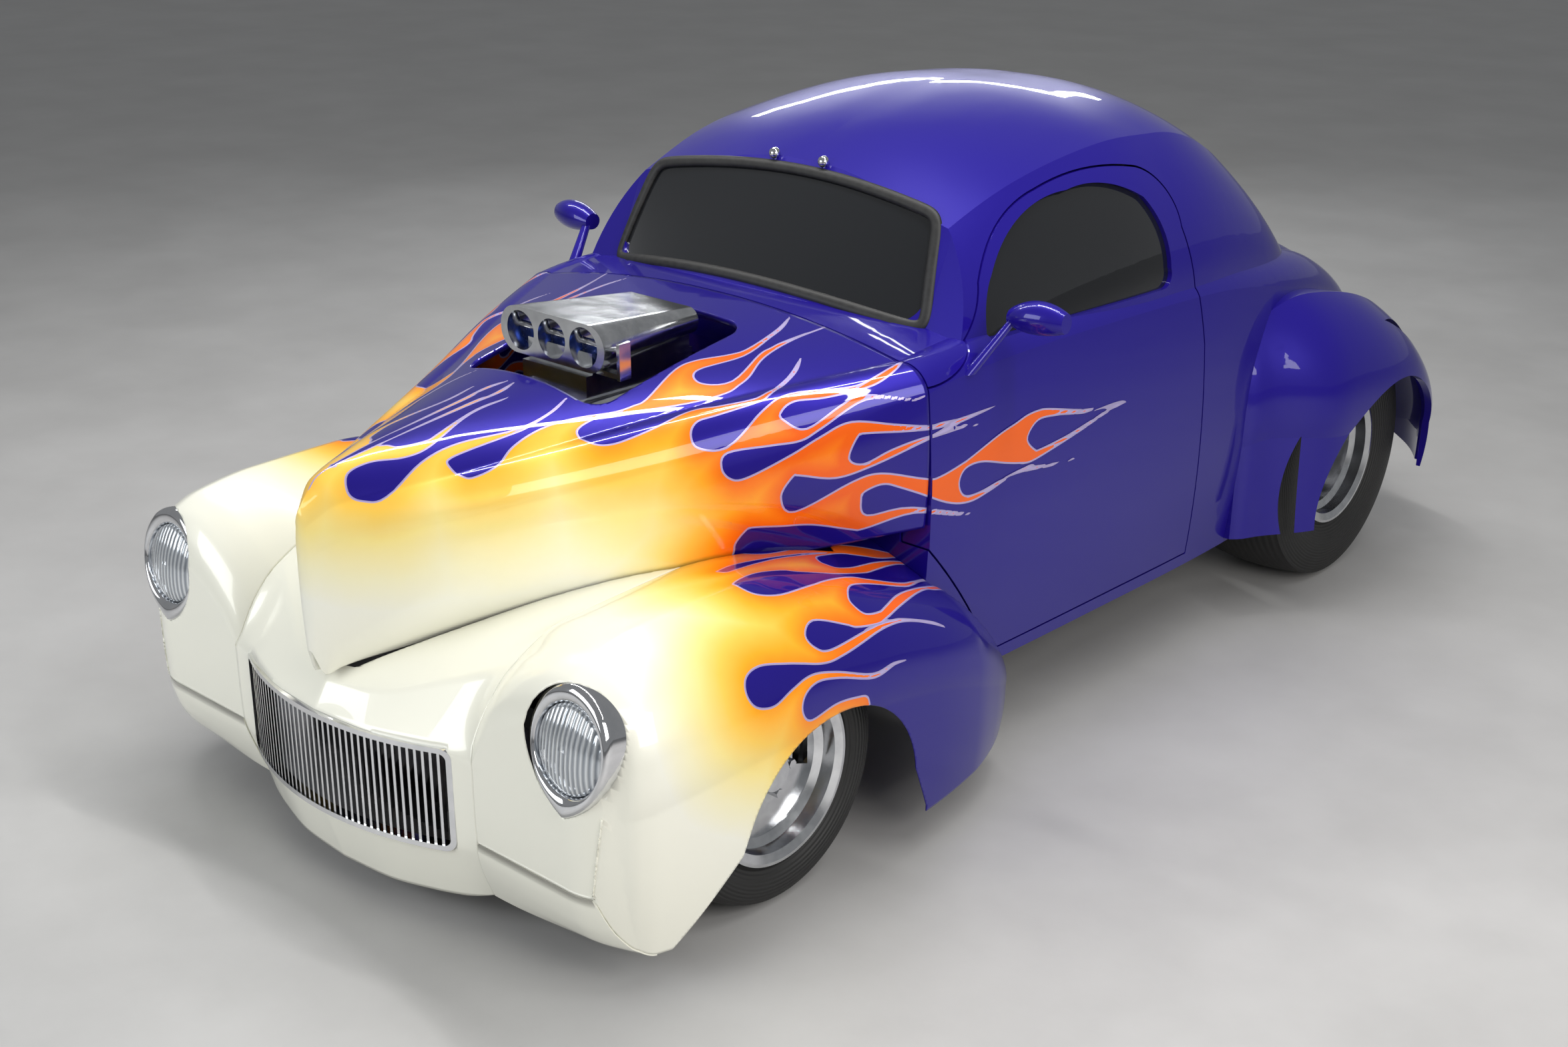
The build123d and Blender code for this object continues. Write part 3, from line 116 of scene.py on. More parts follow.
def backdrop():
    """A large pale floor and an even pale room light."""
    floor = bpy.data.meshes.new("floor")
    floor.from_pydata([(-30, -30, 0), (30, -30, 0), (30, 30, 0), (-30, 30, 0)], [], [(0, 1, 2, 3)])
    ground = bpy.data.objects.new("floor", floor)
    bpy.context.collection.objects.link(ground)
    parts = new_material("floor", (0.62, 0.61, 0.6), 0, 0.55)
    floor.materials.append(mottle(parts, 1.5, (0.44, 0.435, 0.43), (0.5, 0.495, 0.49), 0.42, 0.6))
    world = bpy.data.worlds.new("room")
    world.use_nodes = True
    world.node_tree.nodes["Background"].inputs["Color"].default_value = (0.86, 0.88, 0.9, 1)
    world.node_tree.nodes["Background"].inputs["Strength"].default_value = 0.27
    bpy.context.scene.world = world


backdrop()

# The shell, doors, trunk lid, rear fenders and mirrors are pressed steel in a deep violet blue,
# sprayed with fine metal flake under clear lacquer and polished. They are the construction's own solids.
BLUE = (0.013, 0.005, 0.24)


def flake(nodes, links, surface):
    """Fine flake under the lacquer: a dense cell pattern that only tips the reflection a little."""
    place = nodes.new("ShaderNodeTexCoord")
    cells = pick(nodes, "ShaderNodeTexVoronoi", Scale=900.0)
    links.new(place.outputs["Object"], cells.inputs["Vector"])
    bump = pick(nodes, "ShaderNodeBump", Strength=0.06, Distance=0.0006)
    links.new(cells.outputs["Distance"], bump.inputs["Height"])
    links.new(bump.outputs["Normal"], surface.inputs["Normal"])


blue_paint, nodes, links, surface = new_material(
    "blue_paint", BLUE, 0.2, 0.34, Coat_Weight=0.75, Coat_Roughness=0.02, Specular_IOR_Level=0.12
)
flake(nodes, links, surface)
for name in ("body_shell", "door_left", "door_right", "trunk_lid", "rear_fender_left", "rear_fender_right",
             "mirror_left", "mirror_right"):
    cad[name].data.materials.clear()
    cad[name].data.materials.append(blue_paint)

# Hood: one steel pressing with a peaked prow, hinged at the cowl, with a rounded hole for the intake scoop.
# Its shape is the construction's sections, drawn much finer, and runs on into the tub's side behind the cowl.
# The fire is sprayed over the blue by hand, orange at its edge and cream deep within, with a thin lilac stripe.
FRONT_AXLE = -1.3315
SHUT_Y = 587
SHOULDER = dict(inwards=0.22, upwards=0.62)
CROWN = dict(inwards=0.55, upwards=0.72)
COLUMNS = "y foot_x foot_z side_x belt_x belt_z edge_x edge_z top".split()
HOOD = [
    (-648, 8, 585, 16, 16, 800, 11, 868, 905),
    (-625, 20, 528, 42, 42, 822, 30, 890, 936),
    (-590, 32, 540, 76, 76, 845, 54, 918, 972),
    (-480, 86, 562, 160, 158, 862, 112, 938, 998),
    (-300, 168, 588, 260, 258, 885, 188, 962, 1024),
    (0, 345, 621, 418, 410, 930, 310, 1005, 1064),
    (300, 520, 667, 572, 560, 985, 462, 1052, 1107),
    (585, 690, 700, 698, 690, 1025, 600, 1084, 1145),
]
TUB = [
    (590, 655, 245, 698, 690, 1025, 600, 1084, 1145),
    (900, 668, 245, 706, 694, 1050, 600, 1105, 1150),
    (1750, 672, 245, 708, 694, 1030, 600, 1085, 1120),
]


def spread(columns, table, stations):
    """Every column of the table at the stations, on a monotone cubic between its rows."""
    rows = np.array(table, float)
    at, values = rows[:, 0], rows[:, 1:]
    i = np.clip(np.searchsorted(at, stations, side="right") - 1, 0, len(at) - 2)
    step = (at[1:] - at[:-1])[:, None]
    slope = (values[1:] - values[:-1]) / step
    same = slope[1:] * slope[:-1] > 0
    middle = np.where(same, 2 * slope[1:] * slope[:-1] / np.where(same, slope[1:] + slope[:-1], 1), 0)
    tangent = np.vstack([slope[:1], middle, slope[-1:]])
    h = step[i][..., 0, None] if step[i].ndim > 2 else step[i]
    u = np.clip((stations - at[i])[..., None] / h, 0, 1)
    curve = (values[i] * (1 + 2 * u) * (1 - u) ** 2 + tangent[i] * h * u * (1 - u) ** 2
             + values[i + 1] * u * u * (3 - 2 * u) + tangent[i + 1] * h * u * u * (u - 1))
    return {name: curve[..., k] for k, name in enumerate(columns[1:])}


def arc(a, b, c, t):
    """The point at share t of the circle arc that runs from a through b to c."""
    (ax, az), (bx, bz), (cx, cz) = a, b, c
    d = 2 * (ax * (bz - cz) + bx * (cz - az) + cx * (az - bz))
    d = np.where(np.abs(d) < 1e-3, 1e-3, d)
    a2, b2, c2 = ax**2 + az**2, bx**2 + bz**2, cx**2 + cz**2
    mx = (a2 * (bz - cz) + b2 * (cz - az) + c2 * (az - bz)) / d
    mz = (a2 * (cx - bx) + b2 * (ax - cx) + c2 * (bx - ax)) / d
    start, via, end = (np.arctan2(z - mz, x - mx) for x, z in (a, b, c))
    full = (end - start) % (2 * np.pi)
    turn = np.where((via - start) % (2 * np.pi) <= full, full, full - 2 * np.pi)
    r = np.hypot(ax - mx, az - mz)
    return mx + r * np.cos(start + turn * t), mz + r * np.sin(start + turn * t)


def three_arcs(p, v):
    """Three arcs laid end to end through seven points, for v from 0 to 3."""
    x, z = np.zeros(v.shape), np.zeros(v.shape)
    for k in range(3):
        px, pz = arc(*p[2 * k:2 * k + 3], np.clip(v - k, 0, 1))
        mine = (v >= k) & ((v < k + 1) | (k == 2))
        x, z = np.where(mine, px, x), np.where(mine, pz, z)
    return x, z


def upper_body(table, y, v):
    """Hood or tub at station y: lower edge to belt, belt round the shoulder, shoulder over the crown."""
    s = spread(COLUMNS, table, y)
    foot, belt, edge = (s["foot_x"], s["foot_z"]), (s["belt_x"], s["belt_z"]), (s["edge_x"], s["edge_z"])
    side = (s["side_x"], (s["foot_z"] + s["belt_z"]) / 2)
    corner = (belt[0] - (belt[0] - edge[0]) * SHOULDER["inwards"],
              belt[1] + (edge[1] - belt[1]) * SHOULDER["upwards"])
    crown = (edge[0] * CROWN["inwards"], edge[1] + (s["top"] - edge[1]) * CROWN["upwards"])
    x, z = three_arcs((foot, side, belt, corner, edge, crown, (0 * s["top"], s["top"])), v)
    return np.stack([x, y + 0 * x, z], -1)


def hood_and_tub(y, v):
    """The hood ahead of the cowl line and the tub's side behind it."""
    ahead = upper_body(HOOD, np.minimum(y, HOOD[-1][0]), v)
    return np.where((y > SHUT_Y)[..., None], upper_body(TUB, y, v), ahead)


# Each row is one edge of the fire, from a tip round a notch to the next tip,
# as station along the car and girth from the belt line, in millimetres.
HOOD_FIRE = [
    [(-618, 190), (-552, 177), (-517, 200), (-196, 354), (-136, 374), (-59, 418)],
    [(-59, 418), (-110, 379), (-203, 342), (-424, 245), (-427, 226), (-412, 212), (-356, 218), (-324, 236),
     (-200, 314), (-112, 342)],
    [(-112, 342), (-219, 299), (-358, 199), (-424, 174), (-488, 175), (-543, 148), (-562, 101), (-541, 76),
     (-503, 78), (-401, 153), (-309, 191), (-189, 202), (-104, 234), (-31, 284)],
    [(-31, 284), (-85, 242), (-166, 201), (-211, 188), (-295, 167), (-346, 151), (-360, 135), (-353, 92),
     (-336, 83), (-284, 100), (-223, 150), (-145, 188), (-68, 201), (13, 193), (56, 199), (94, 213), (212, 303),
     (271, 324), (343, 316), (391, 325), (497, 384), (573, 441)],
    [(573, 441), (521, 393), (465, 356), (359, 295), (243, 278), (213, 222), (267, 199), (388, 285), (428, 304),
     (472, 321), (577, 346), (612, 351)],
    [(612, 351), (494, 320), (387, 268), (306, 201), (266, 177), (226, 160), (146, 160), (0, 188), (-34, 186),
     (-86, 160), (-96, 116), (-88, 92), (-67, 82), (-32, 83), (38, 97), (113, 122), (148, 124), (174, 113),
     (239, 102), (277, 112), (361, 159), (442, 228)],
    [(442, 228), (383, 168), (279, 101), (246, 88), (155, 83), (114, 81), (86, 55), (87, 21), (145, 4),
     (238, 60), (314, 87), (413, 65), (475, 66), (589, 109)],
    [(589, 109), (548, 79), (478, 52), (374, 52), (309, 63), (271, 46), (268, 28), (309, -6), (392, 24),
     (447, 35), (549, -2), (577, -2)],
    [(577, -2), (549, -5), (449, 24), (343, -13), (295, -28), (232, -20), (143, -8), (126, -36), (140, -66),
     (174, -76), (270, -54), (337, -32), (408, -17), (504, -49), (577, -73), (628, -81), (699, -94), (800, -104),
     (848, -109)],
    [(848, -109), (704, -102), (649, -94), (538, -74), (441, -52), (419, -54), (397, -99), (431, -122),
     (496, -107), (574, -100), (665, -105), (777, -136)],
    [(777, -136), (721, -120), (610, -107), (574, -108), (458, -131), (369, -137), (289, -107), (272, -104),
     (247, -144), (281, -194), (406, -158), (474, -157), (579, -201), (627, -209), (699, -206), (743, -200),
     (846, -179), (901, -170), (948, -160), (992, -158), (1035, -163), (1160, -193), (1212, -202), (1268, -207),
     (1378, -205)],
    [(1378, -205), (1294, -209), (1200, -207), (1134, -197), (1069, -186), (992, -182), (950, -218), (981, -254),
     (1009, -259), (1111, -251), (1176, -241), (1242, -230), (1295, -220), (1400, -212)],
    [(1400, -212), (1295, -225), (1177, -249), (1068, -268), (972, -281), (923, -274), (861, -257), (771, -225),
     (712, -222), (691, -251), (712, -289), (770, -301), (858, -297), (954, -292), (1012, -303), (1128, -318),
     (1179, -313)],
    [(1179, -313), (1063, -314), (911, -298), (810, -310), (731, -311), (647, -281), (527, -209), (481, -185),
     (440, -190), (431, -206), (450, -256), (553, -265), (743, -346)],
    [(743, -346), (680, -325), (559, -280), (451, -292), (422, -286), (329, -244), (259, -224), (198, -205),
     (181, -206), (165, -237), (169, -270), (167, -340)],
]
HOOD_CLOSE = [(-800, -600), (-800, 600)]


def smooth_line(points, steps):
    """A smooth curve through the points: each span is a cubic whose slope at a point is half the step between
    that point's two neighbours."""
    q = np.array(points, float)
    e = np.vstack([2 * q[0] - q[1], q, 2 * q[-1] - q[-2]])
    t = np.linspace(0, 1, steps, endpoint=False)[:, None]
    spans = [
        0.5 * (2 * e[i] + (e[i + 1] - e[i - 1]) * t + (2 * e[i - 1] - 5 * e[i] + 4 * e[i + 1] - e[i + 2]) * t**2
               + (3 * e[i] - e[i - 1] - 3 * e[i + 1] + e[i + 2]) * t**3)
        for i in range(1, len(e) - 2)
    ]
    return np.vstack(spans + [q[-1:]])


def inside(points, outline):
    """True for points within the closed outline, by counting the edges that a level ray crosses."""
    a, b = outline, np.roll(outline, -1, 0)
    within = np.zeros(len(points), bool)
    for p, q in zip(a, b):
        crosses = (p[1] > points[:, 1]) != (q[1] > points[:, 1])
        if p[1] != q[1]:
            reach = p[0] + (points[:, 1] - p[1]) * (q[0] - p[0]) / (q[1] - p[1])
            within ^= crosses & (points[:, 0] < reach)
    return within


def far_from(points, line):
    """Distance from each point to the nearest piece of the line, in any number of dimensions."""
    best = np.full(len(points), 1e9)
    for a, b in zip(line[:-1], line[1:]):
        d = b - a
        t = np.clip((points - a) @ d / max(d @ d, 1e-9), 0, 1)
        best = np.minimum(best, np.linalg.norm(points - a - t[:, None] * d, axis=1))
    return best


def girths(shape, y, count=240):
    """For stations y: the section parameters, and the girth in millimetres from parameter 1."""
    v = np.broadcast_to(np.linspace(0, 3, count + 1), (len(y), count + 1))
    p = shape(np.broadcast_to(y[:, None], v.shape), v)
    run = np.concatenate([np.zeros((len(y), 1)), np.cumsum(np.linalg.norm(np.diff(p, axis=1), axis=2), 1)], 1)
    return v, run - run[:, count // 3:count // 3 + 1]


def fire_distance(shape, points, girth, strokes, closing, steps=5):
    """Signed distance in millimetres to the edge of the fire, above zero within it."""
    curves = [smooth_line(s, steps) for s in strokes]
    flat = np.vstack(curves + [np.array(closing, float)]) if closing else np.vstack(curves)
    within = inside(np.stack([points[:, 1], girth], 1), flat)
    best = np.full(len(points), 1e9)
    for c in curves:
        v, run = girths(shape, c[:, 0])
        at = np.array([np.interp(g, r, w) for g, r, w in zip(c[:, 1], run, v)])
        best = np.minimum(best, far_from(points, shape(c[:, 0], at)))
    return np.where(within, best, -best)


def panel_grid(shape, y, count):
    """A grid of points over a panel, evenly spaced along each station's girth, and the girth of each point."""
    v, run = girths(shape, y)
    share = np.linspace(0, 1, count)
    girth = np.array([r[0] + share * (r[-1] - r[0]) for r in run])
    at = np.array([np.interp(g, r, w) for g, r, w in zip(girth, run, v)])
    p = shape(np.broadcast_to(y[:, None], at.shape), at)
    return p, girth


def net(rows, columns):
    """The two triangles of every cell of a grid of points."""
    k = np.arange(rows * columns).reshape(rows, columns)
    a, b, c, d = k[:-1, :-1].ravel(), k[1:, :-1].ravel(), k[1:, 1:].ravel(), k[:-1, 1:].ravel()
    return np.vstack([np.stack([a, b, c], 1), np.stack([a, c, d], 1)])


def trim(data, faces, column):
    """Cuts a triangle net where that column of its point data falls below zero, with new points on the cut."""
    keep = data[:, column] > 0
    count = keep[faces].sum(1)
    kept, new_faces, points = faces[count == 3], [], [data]
    mixed = faces[(count == 1) | (count == 2)]
    if not len(mixed):
        return data, kept
    odd = np.where(keep[mixed].sum(1) == 1, 1, 0)
    first = np.argmax(keep[mixed] == odd[:, None].astype(bool), 1)
    k = np.arange(len(mixed))
    a, b, c = (mixed[k, (first + n) % 3] for n in range(3))
    ends = np.sort(np.concatenate([np.stack([a, b], 1), np.stack([a, c], 1)]), 1)
    edges, where = np.unique(ends, axis=0, return_inverse=True)
    where = where.reshape(-1)
    p, q = data[edges[:, 0]], data[edges[:, 1]]
    t = (p[:, column] / (p[:, column] - q[:, column]))[:, None]
    fresh = len(data) + np.arange(len(edges))
    ab, ac = fresh[where[:len(k)]], fresh[where[len(k):]]
    one = odd == 1
    new_faces = [np.stack([a, ab, ac], 1)[one], np.stack([ab, b, c], 1)[~one], np.stack([ab, c, ac], 1)[~one]]
    data, faces = np.vstack([data, p + (q - p) * t]), np.vstack([kept] + new_faces)
    used, renumbered = np.unique(faces, return_inverse=True)
    return data[used], renumbered.reshape(faces.shape)


def build(name, points, faces, material, fire=None):
    """A smooth mesh object from points in millimetres and triangles, in the shared frame. Equal points are made
    one, and faces without area and repeated faces are dropped. The fire distance goes in as an attribute."""
    points, first, where = np.unique(np.round(points, 2), axis=0, return_index=True, return_inverse=True)
    faces = where.reshape(-1)[faces]
    faces = faces[(faces[:, 0] != faces[:, 1]) & (faces[:, 1] != faces[:, 2]) & (faces[:, 0] != faces[:, 2])]
    faces = faces[np.sort(np.unique(np.sort(faces, 1), axis=0, return_index=True)[1])]
    fire = None if fire is None else fire[first]
    mesh = bpy.data.meshes.new(name)
    placed = points / 1000 + np.array([0, FRONT_AXLE, 0])
    mesh.from_pydata(placed.tolist(), [], faces.tolist())
    mesh.polygons.foreach_set("use_smooth", np.ones(len(mesh.polygons), bool))
    if fire is not None:
        mesh.attributes.new("fire", "FLOAT", "POINT").data.foreach_set("value", fire.astype(np.float32))
    mesh.materials.append(material)
    mesh.update()
    obj = bpy.data.objects.new(name, mesh)
    bpy.context.collection.objects.link(obj)
    return obj


def thicken(obj, millimetres):
    """Gives a sheet its thickness inwards."""
    wall = obj.modifiers.new("thickness", "SOLIDIFY")
    wall.thickness, wall.offset = millimetres / 1000, -1
    wall.use_even_offset = False


STRIPE = 2.3
fire_paint, nodes, links, surface = new_material(
    "fire_paint", BLUE, 0.3, 0.3, Coat_Weight=0.75, Coat_Roughness=0.02, Specular_IOR_Level=0.12
)
flake(nodes, links, surface)
edge = nodes.new("ShaderNodeAttribute")
edge.attribute_name = "fire"
place = nodes.new("ShaderNodeTexCoord")
cloud = pick(nodes, "ShaderNodeTexNoise", Scale=7.0, Detail=3.0)
links.new(place.outputs["Object"], cloud.inputs["Vector"])
drift = pick(nodes, "ShaderNodeMapRange", From_Min=0.3, From_Max=0.7, To_Min=-9.0, To_Max=9.0)
links.new(cloud.outputs["Fac"], drift.inputs["Value"])
split = nodes.new("ShaderNodeSeparateXYZ")
links.new(place.outputs["Object"], split.inputs["Vector"])
rearward = pick(nodes, "ShaderNodeMapRange", From_Min=-1.85, From_Max=-0.75, To_Min=95.0, To_Max=-70.0)
links.new(split.outputs["Y"], rearward.inputs["Value"])
paler = nodes.new("ShaderNodeMath")
links.new(edge.outputs["Fac"], paler.inputs[0])
links.new(rearward.outputs["Result"], paler.inputs[1])
depth = nodes.new("ShaderNodeMath")
links.new(paler.outputs["Value"], depth.inputs[0])
links.new(drift.outputs["Result"], depth.inputs[1])
share = pick(nodes, "ShaderNodeMapRange", From_Min=-20.0, From_Max=340.0)
links.new(depth.outputs["Value"], share.inputs["Value"])
fire_ramp = nodes.new("ShaderNodeValToRGB")
stops = [
    (0.0, (0.86, 0.12, 0.003)), (0.1, (0.94, 0.23, 0.006)), (0.22, (0.98, 0.42, 0.02)),
    (0.38, (0.98, 0.62, 0.1)), (0.56, (0.97, 0.8, 0.3)), (0.78, (0.94, 0.88, 0.58)), (1.0, (0.92, 0.91, 0.8)),
]
while len(fire_ramp.color_ramp.elements) < len(stops):
    fire_ramp.color_ramp.elements.new(0.5)
for element, (position, colour) in zip(fire_ramp.color_ramp.elements, stops):
    element.position, element.color = position, (*colour, 1)
links.new(share.outputs["Result"], fire_ramp.inputs["Fac"])
within = nodes.new("ShaderNodeMath")
within.operation, within.inputs[1].default_value = "GREATER_THAN", 0.0
links.new(edge.outputs["Fac"], within.inputs[0])
paint_mix = nodes.new("ShaderNodeMix")
paint_mix.data_type = "RGBA"
paint_mix.inputs["A"].default_value = (*BLUE, 1)
links.new(within.outputs["Value"], paint_mix.inputs["Factor"])
links.new(fire_ramp.outputs["Color"], paint_mix.inputs["B"])
near = nodes.new("ShaderNodeMath")
near.operation = "ABSOLUTE"
links.new(edge.outputs["Fac"], near.inputs[0])
line = nodes.new("ShaderNodeMath")
line.operation, line.inputs[1].default_value = "LESS_THAN", STRIPE
links.new(near.outputs["Value"], line.inputs[0])
line_mix = nodes.new("ShaderNodeMix")
line_mix.data_type = "RGBA"
line_mix.inputs["B"].default_value = (0.42, 0.36, 0.62, 1)
links.new(line.outputs["Value"], line_mix.inputs["Factor"])
links.new(paint_mix.outputs["Result"], line_mix.inputs["A"])
links.new(line_mix.outputs["Result"], surface.inputs["Base Color"])
dull = nodes.new("ShaderNodeMath")
dull.operation, dull.inputs[1].default_value = "MULTIPLY_ADD", -0.28
dull.inputs[2].default_value = 0.35
links.new(within.outputs["Value"], dull.inputs[0])
links.new(dull.outputs["Value"], surface.inputs["Metallic"])


def rounded_box(x, y, half_x, half_y, r):
    """Signed distance to a rectangle with rounded corners, above zero outside it."""
    dx, dy = np.abs(x) - half_x + r, np.abs(y) - half_y + r
    return np.hypot(np.maximum(dx, 0), np.maximum(dy, 0)) + np.minimum(np.maximum(dx, dy), 0) - r


FINE = 7
HALF_GIRTH = 480
SCOOP_HOLE = dict(y=226, half_x=235, half_y=244, corner=60, above=850)
HOOD_WALL = 14
y = np.arange(HOOD[0][0], HOOD[-1][0] + 0.1, FINE)
y[-1] = HOOD[-1][0]
points, girth = panel_grid(hood_and_tub, y, 2 * (HALF_GIRTH // FINE) + 1)
rows, columns = girth.shape
fire = fire_distance(hood_and_tub, points.reshape(-1, 3), girth.ravel(), HOOD_FIRE, HOOD_CLOSE)
fire = fire.reshape(rows, columns)
cap = points[:1] * [0, 1, 1]
half = np.concatenate([np.concatenate([cap, points]), np.concatenate([fire[:1], fire])[..., None]], 2)
other = half[:, -2::-1] * [-1, 1, 1, 1]
data = np.concatenate([half, other], 1)
faces = net(data.shape[0], data.shape[1])
data = data.reshape(-1, 4)
hole = rounded_box(data[:, 0], data[:, 1] - SCOOP_HOLE["y"], SCOOP_HOLE["half_x"], SCOOP_HOLE["half_y"],
                   SCOOP_HOLE["corner"])
hole = np.where(data[:, 2] > SCOOP_HOLE["above"], hole, 100)
data, faces = trim(np.column_stack([data, hole]), faces, 4)
hood = build("hood_skin", data[:, :3], faces, fire_paint, data[:, 3])
thicken(hood, HOOD_WALL)
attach(hood, "hood")
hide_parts("hood")

# Front fenders: a deep steel pressing on each side, bolted to the nose panel and the cowl.
# They are cut away for the wheel arch, along the hood's side and round the headlamp, and carry the fire on.
SEAM_X = 420.0
FENDER_COLUMNS = "y in_x in_z crown_x crown_z out_x out_z low_x low_z bow".split()
FENDER = [
    (-567, 432, 440, 712, 592, 798, 430, 775, 250, 0.9),
    (-550, SEAM_X, 478, 708, 655, 832, 430, 802, 168, 0.8),
    (-515, SEAM_X, 538, 703, 702, 854, 435, 822, 122, 0.7),
    (-450, SEAM_X, 604, 695, 732, 870, 442, 838, 100, 0.5),
    (-300, SEAM_X, 668, 690, 752, 882, 450, 858, 90, 0.3),
    (-50, SEAM_X, 682, 692, 754, 888, 460, 872, 90, 0.2),
    (200, SEAM_X, 690, 698, 705, 886, 440, 872, 90, 0.2),
    (420, SEAM_X, 690, 704, 632, 876, 400, 862, 95, 0),
    (600, SEAM_X, 650, 706, 556, 856, 340, 842, 105, 0),
    (720, SEAM_X, 580, 706, 462, 820, 290, 806, 112, 0),
    (820, SEAM_X, 480, 704, 350, 770, 240, 758, 120, 0),
    (876, SEAM_X, 380, 700, 255, 726, 200, 718, 130, 0),
]
FENDER_FIRE = [
    [(196, -300), (195, -245), (185, -209), (226, -170), (330, -169), (378, -165), (422, -158), (542, -137),
     (645, -131)],
    [(645, -131), (523, -94), (452, -101), (401, -115), (353, -114), (316, -108), (295, -79), (296, -55),
     (307, -37), (353, -39), (413, -55), (476, -71), (602, -96), (706, -108)],
    [(706, -108), (576, -79), (508, -59), (435, -34), (363, -10), (253, 4), (164, -20), (134, -39), (54, -40),
     (-39, -13), (-50, 5), (-32, 47), (29, 64), (138, 45), (190, 33), (290, 19), (337, 24), (444, 29), (508, 13),
     (600, -22), (712, -52)],
    [(712, -52), (573, -7), (486, 32), (432, 44), (315, 45), (252, 54), (215, 84), (205, 109), (224, 137),
     (274, 133), (309, 117), (404, 71), (574, 18), (673, -29), (722, -34)],
    [(722, -34), (687, -16), (575, 32), (530, 41), (467, 65), (406, 92), (344, 121), (292, 146), (246, 163),
     (176, 167), (146, 159), (57, 141), (12, 170), (23, 201), (67, 212), (200, 177), (301, 154), (349, 149),
     (441, 150), (486, 159)],
    [(486, 159), (433, 154), (382, 152), (332, 156), (286, 166), (233, 182), (137, 215), (94, 228), (54, 237),
     (14, 236), (-31, 225), (-73, 212), (-140, 194), (-184, 203), (-199, 235), (-183, 269), (-135, 284),
     (-77, 268), (-13, 255), (64, 261), (177, 275), (253, 255), (301, 249)],
    [(301, 249), (259, 257), (180, 284), (71, 275), (0, 273), (-44, 292), (-56, 325), (-29, 352), (52, 331),
     (118, 324), (151, 325), (162, 345)],
]
FENDER_CLOSE = [(90, 440), (-60, 900), (-900, 900), (-900, -500)]
FENDER_SLIT = [
    [(16, -124), (96, -146), (247, -139), (305, -135), (369, -124)],
    [(369, -124), (297, -127), (203, -128), (133, -119), (68, -104), (19, -95), (16, -124)],
]
CROWN_LIFT, BOW_REACH, CORNER_SHARE, FLANK_SHARE = 4, 0.21, 0.71, 0.2
FENDER_GIRTH = 620
FENDER_WALL = 3
FRONT_Y, CAP_X, CAP_Z = FENDER[0][0], FENDER[0][7], FENDER[0][8]
CHIN_Y = -440
DEEP_FIRE = 420.0
CHIN_REACH, CHIN_DROP, CHIN_BEND = 42, 155, 1.5
SIDE_ROLL = dict(back=26, start=715, over=85)
FOOT_ROLL = dict(back=10, start=360, over=200)
HOOD_GAP = dict(side=4, foot=-12, belt=2, cowl=590, prow=-652)
TUB_SIDE = 712
ARCH = dict(y=60, z=195, r=285, inner=560)
ARCH_FOOT = [(-205, 300), (-225, 250), (-420, 80), (-420, -50), (412, -50), (400, 110), (330, 260)]
LAMP = dict(x=715, y=-538, z=560, lean=math.radians(9.6), lens_r=96, wide=112, up=138, down=146, deep=60)


def fender_shape(y, v):
    """Left fender at station y: seam to crown, crown to the outer side, and down to the lower edge."""
    s = spread(FENDER_COLUMNS, FENDER, y)
    start, top, side, low = ((s[k + "_x"], s[k + "_z"]) for k in ("in", "crown", "out", "low"))
    bow = BOW_REACH * s["bow"]
    first = (start[0] + (0.5 - bow) * (top[0] - start[0]),
             start[1] + (0.5 + bow) * (top[1] - start[1]) + CROWN_LIFT)
    turn = (top[0] + CORNER_SHARE * (side[0] - top[0]), side[1] + CORNER_SHARE * (top[1] - side[1]))
    flank = (side[0] - FLANK_SHARE * (side[0] - low[0]), (side[1] + low[1]) / 2)
    x, z = three_arcs((start, first, top, turn, side, flank, low), v)
    return np.stack([x, y + 0 * x, z], -1)


def outside_of(points, outline):
    """Signed distance in the plane to a closed outline, above zero outside it."""
    outline = np.array(outline, float)
    away = far_from(points, np.vstack([outline, outline[:1]]))
    return np.where(inside(points, outline), -away, away)


def past_hood(x, y, z):
    """Distance outside the hood's side and its shut gap, with a parabola through the side's three heights."""
    s = spread(COLUMNS, HOOD, np.clip(y, HOOD[0][0], HOOD[-1][0]))
    z0, z1, z2 = s["foot_z"] + HOOD_GAP["foot"], (s["foot_z"] + s["belt_z"]) / 2, s["belt_z"] + HOOD_GAP["belt"]
    w0 = (z - z1) * (z - z2) / ((z0 - z1) * (z0 - z2))
    w1 = (z - z0) * (z - z2) / ((z1 - z0) * (z1 - z2))
    w2 = (z - z0) * (z - z1) / ((z2 - z0) * (z2 - z1))
    side = w0 * s["foot_x"] + w1 * s["side_x"] + w2 * s["belt_x"] + HOOD_GAP["side"]
    return np.maximum.reduce([np.abs(x) - side, z0 - z, y - HOOD_GAP["cowl"], HOOD_GAP["prow"] - y])


def bezel_outline(count=10):
    """The teardrop round the lamp: four arcs, in the lamp's own plane."""
    w, up, down = LAMP["wide"], LAMP["up"], LAMP["down"]
    arcs = [((w, 10), (0.74 * w, 0.71 * up), (0, up)), ((0, up), (-0.74 * w, 0.71 * up), (-w, 10)),
            ((-w, 10), (-0.62 * w, -0.66 * down), (0, -down)), ((0, -down), (0.62 * w, -0.66 * down), (w, 10))]
    t = np.linspace(0, 1, count, endpoint=False)
    return np.vstack([np.stack(arc(*[(float(px), float(pz)) for px, pz in a], t), -1) for a in arcs])


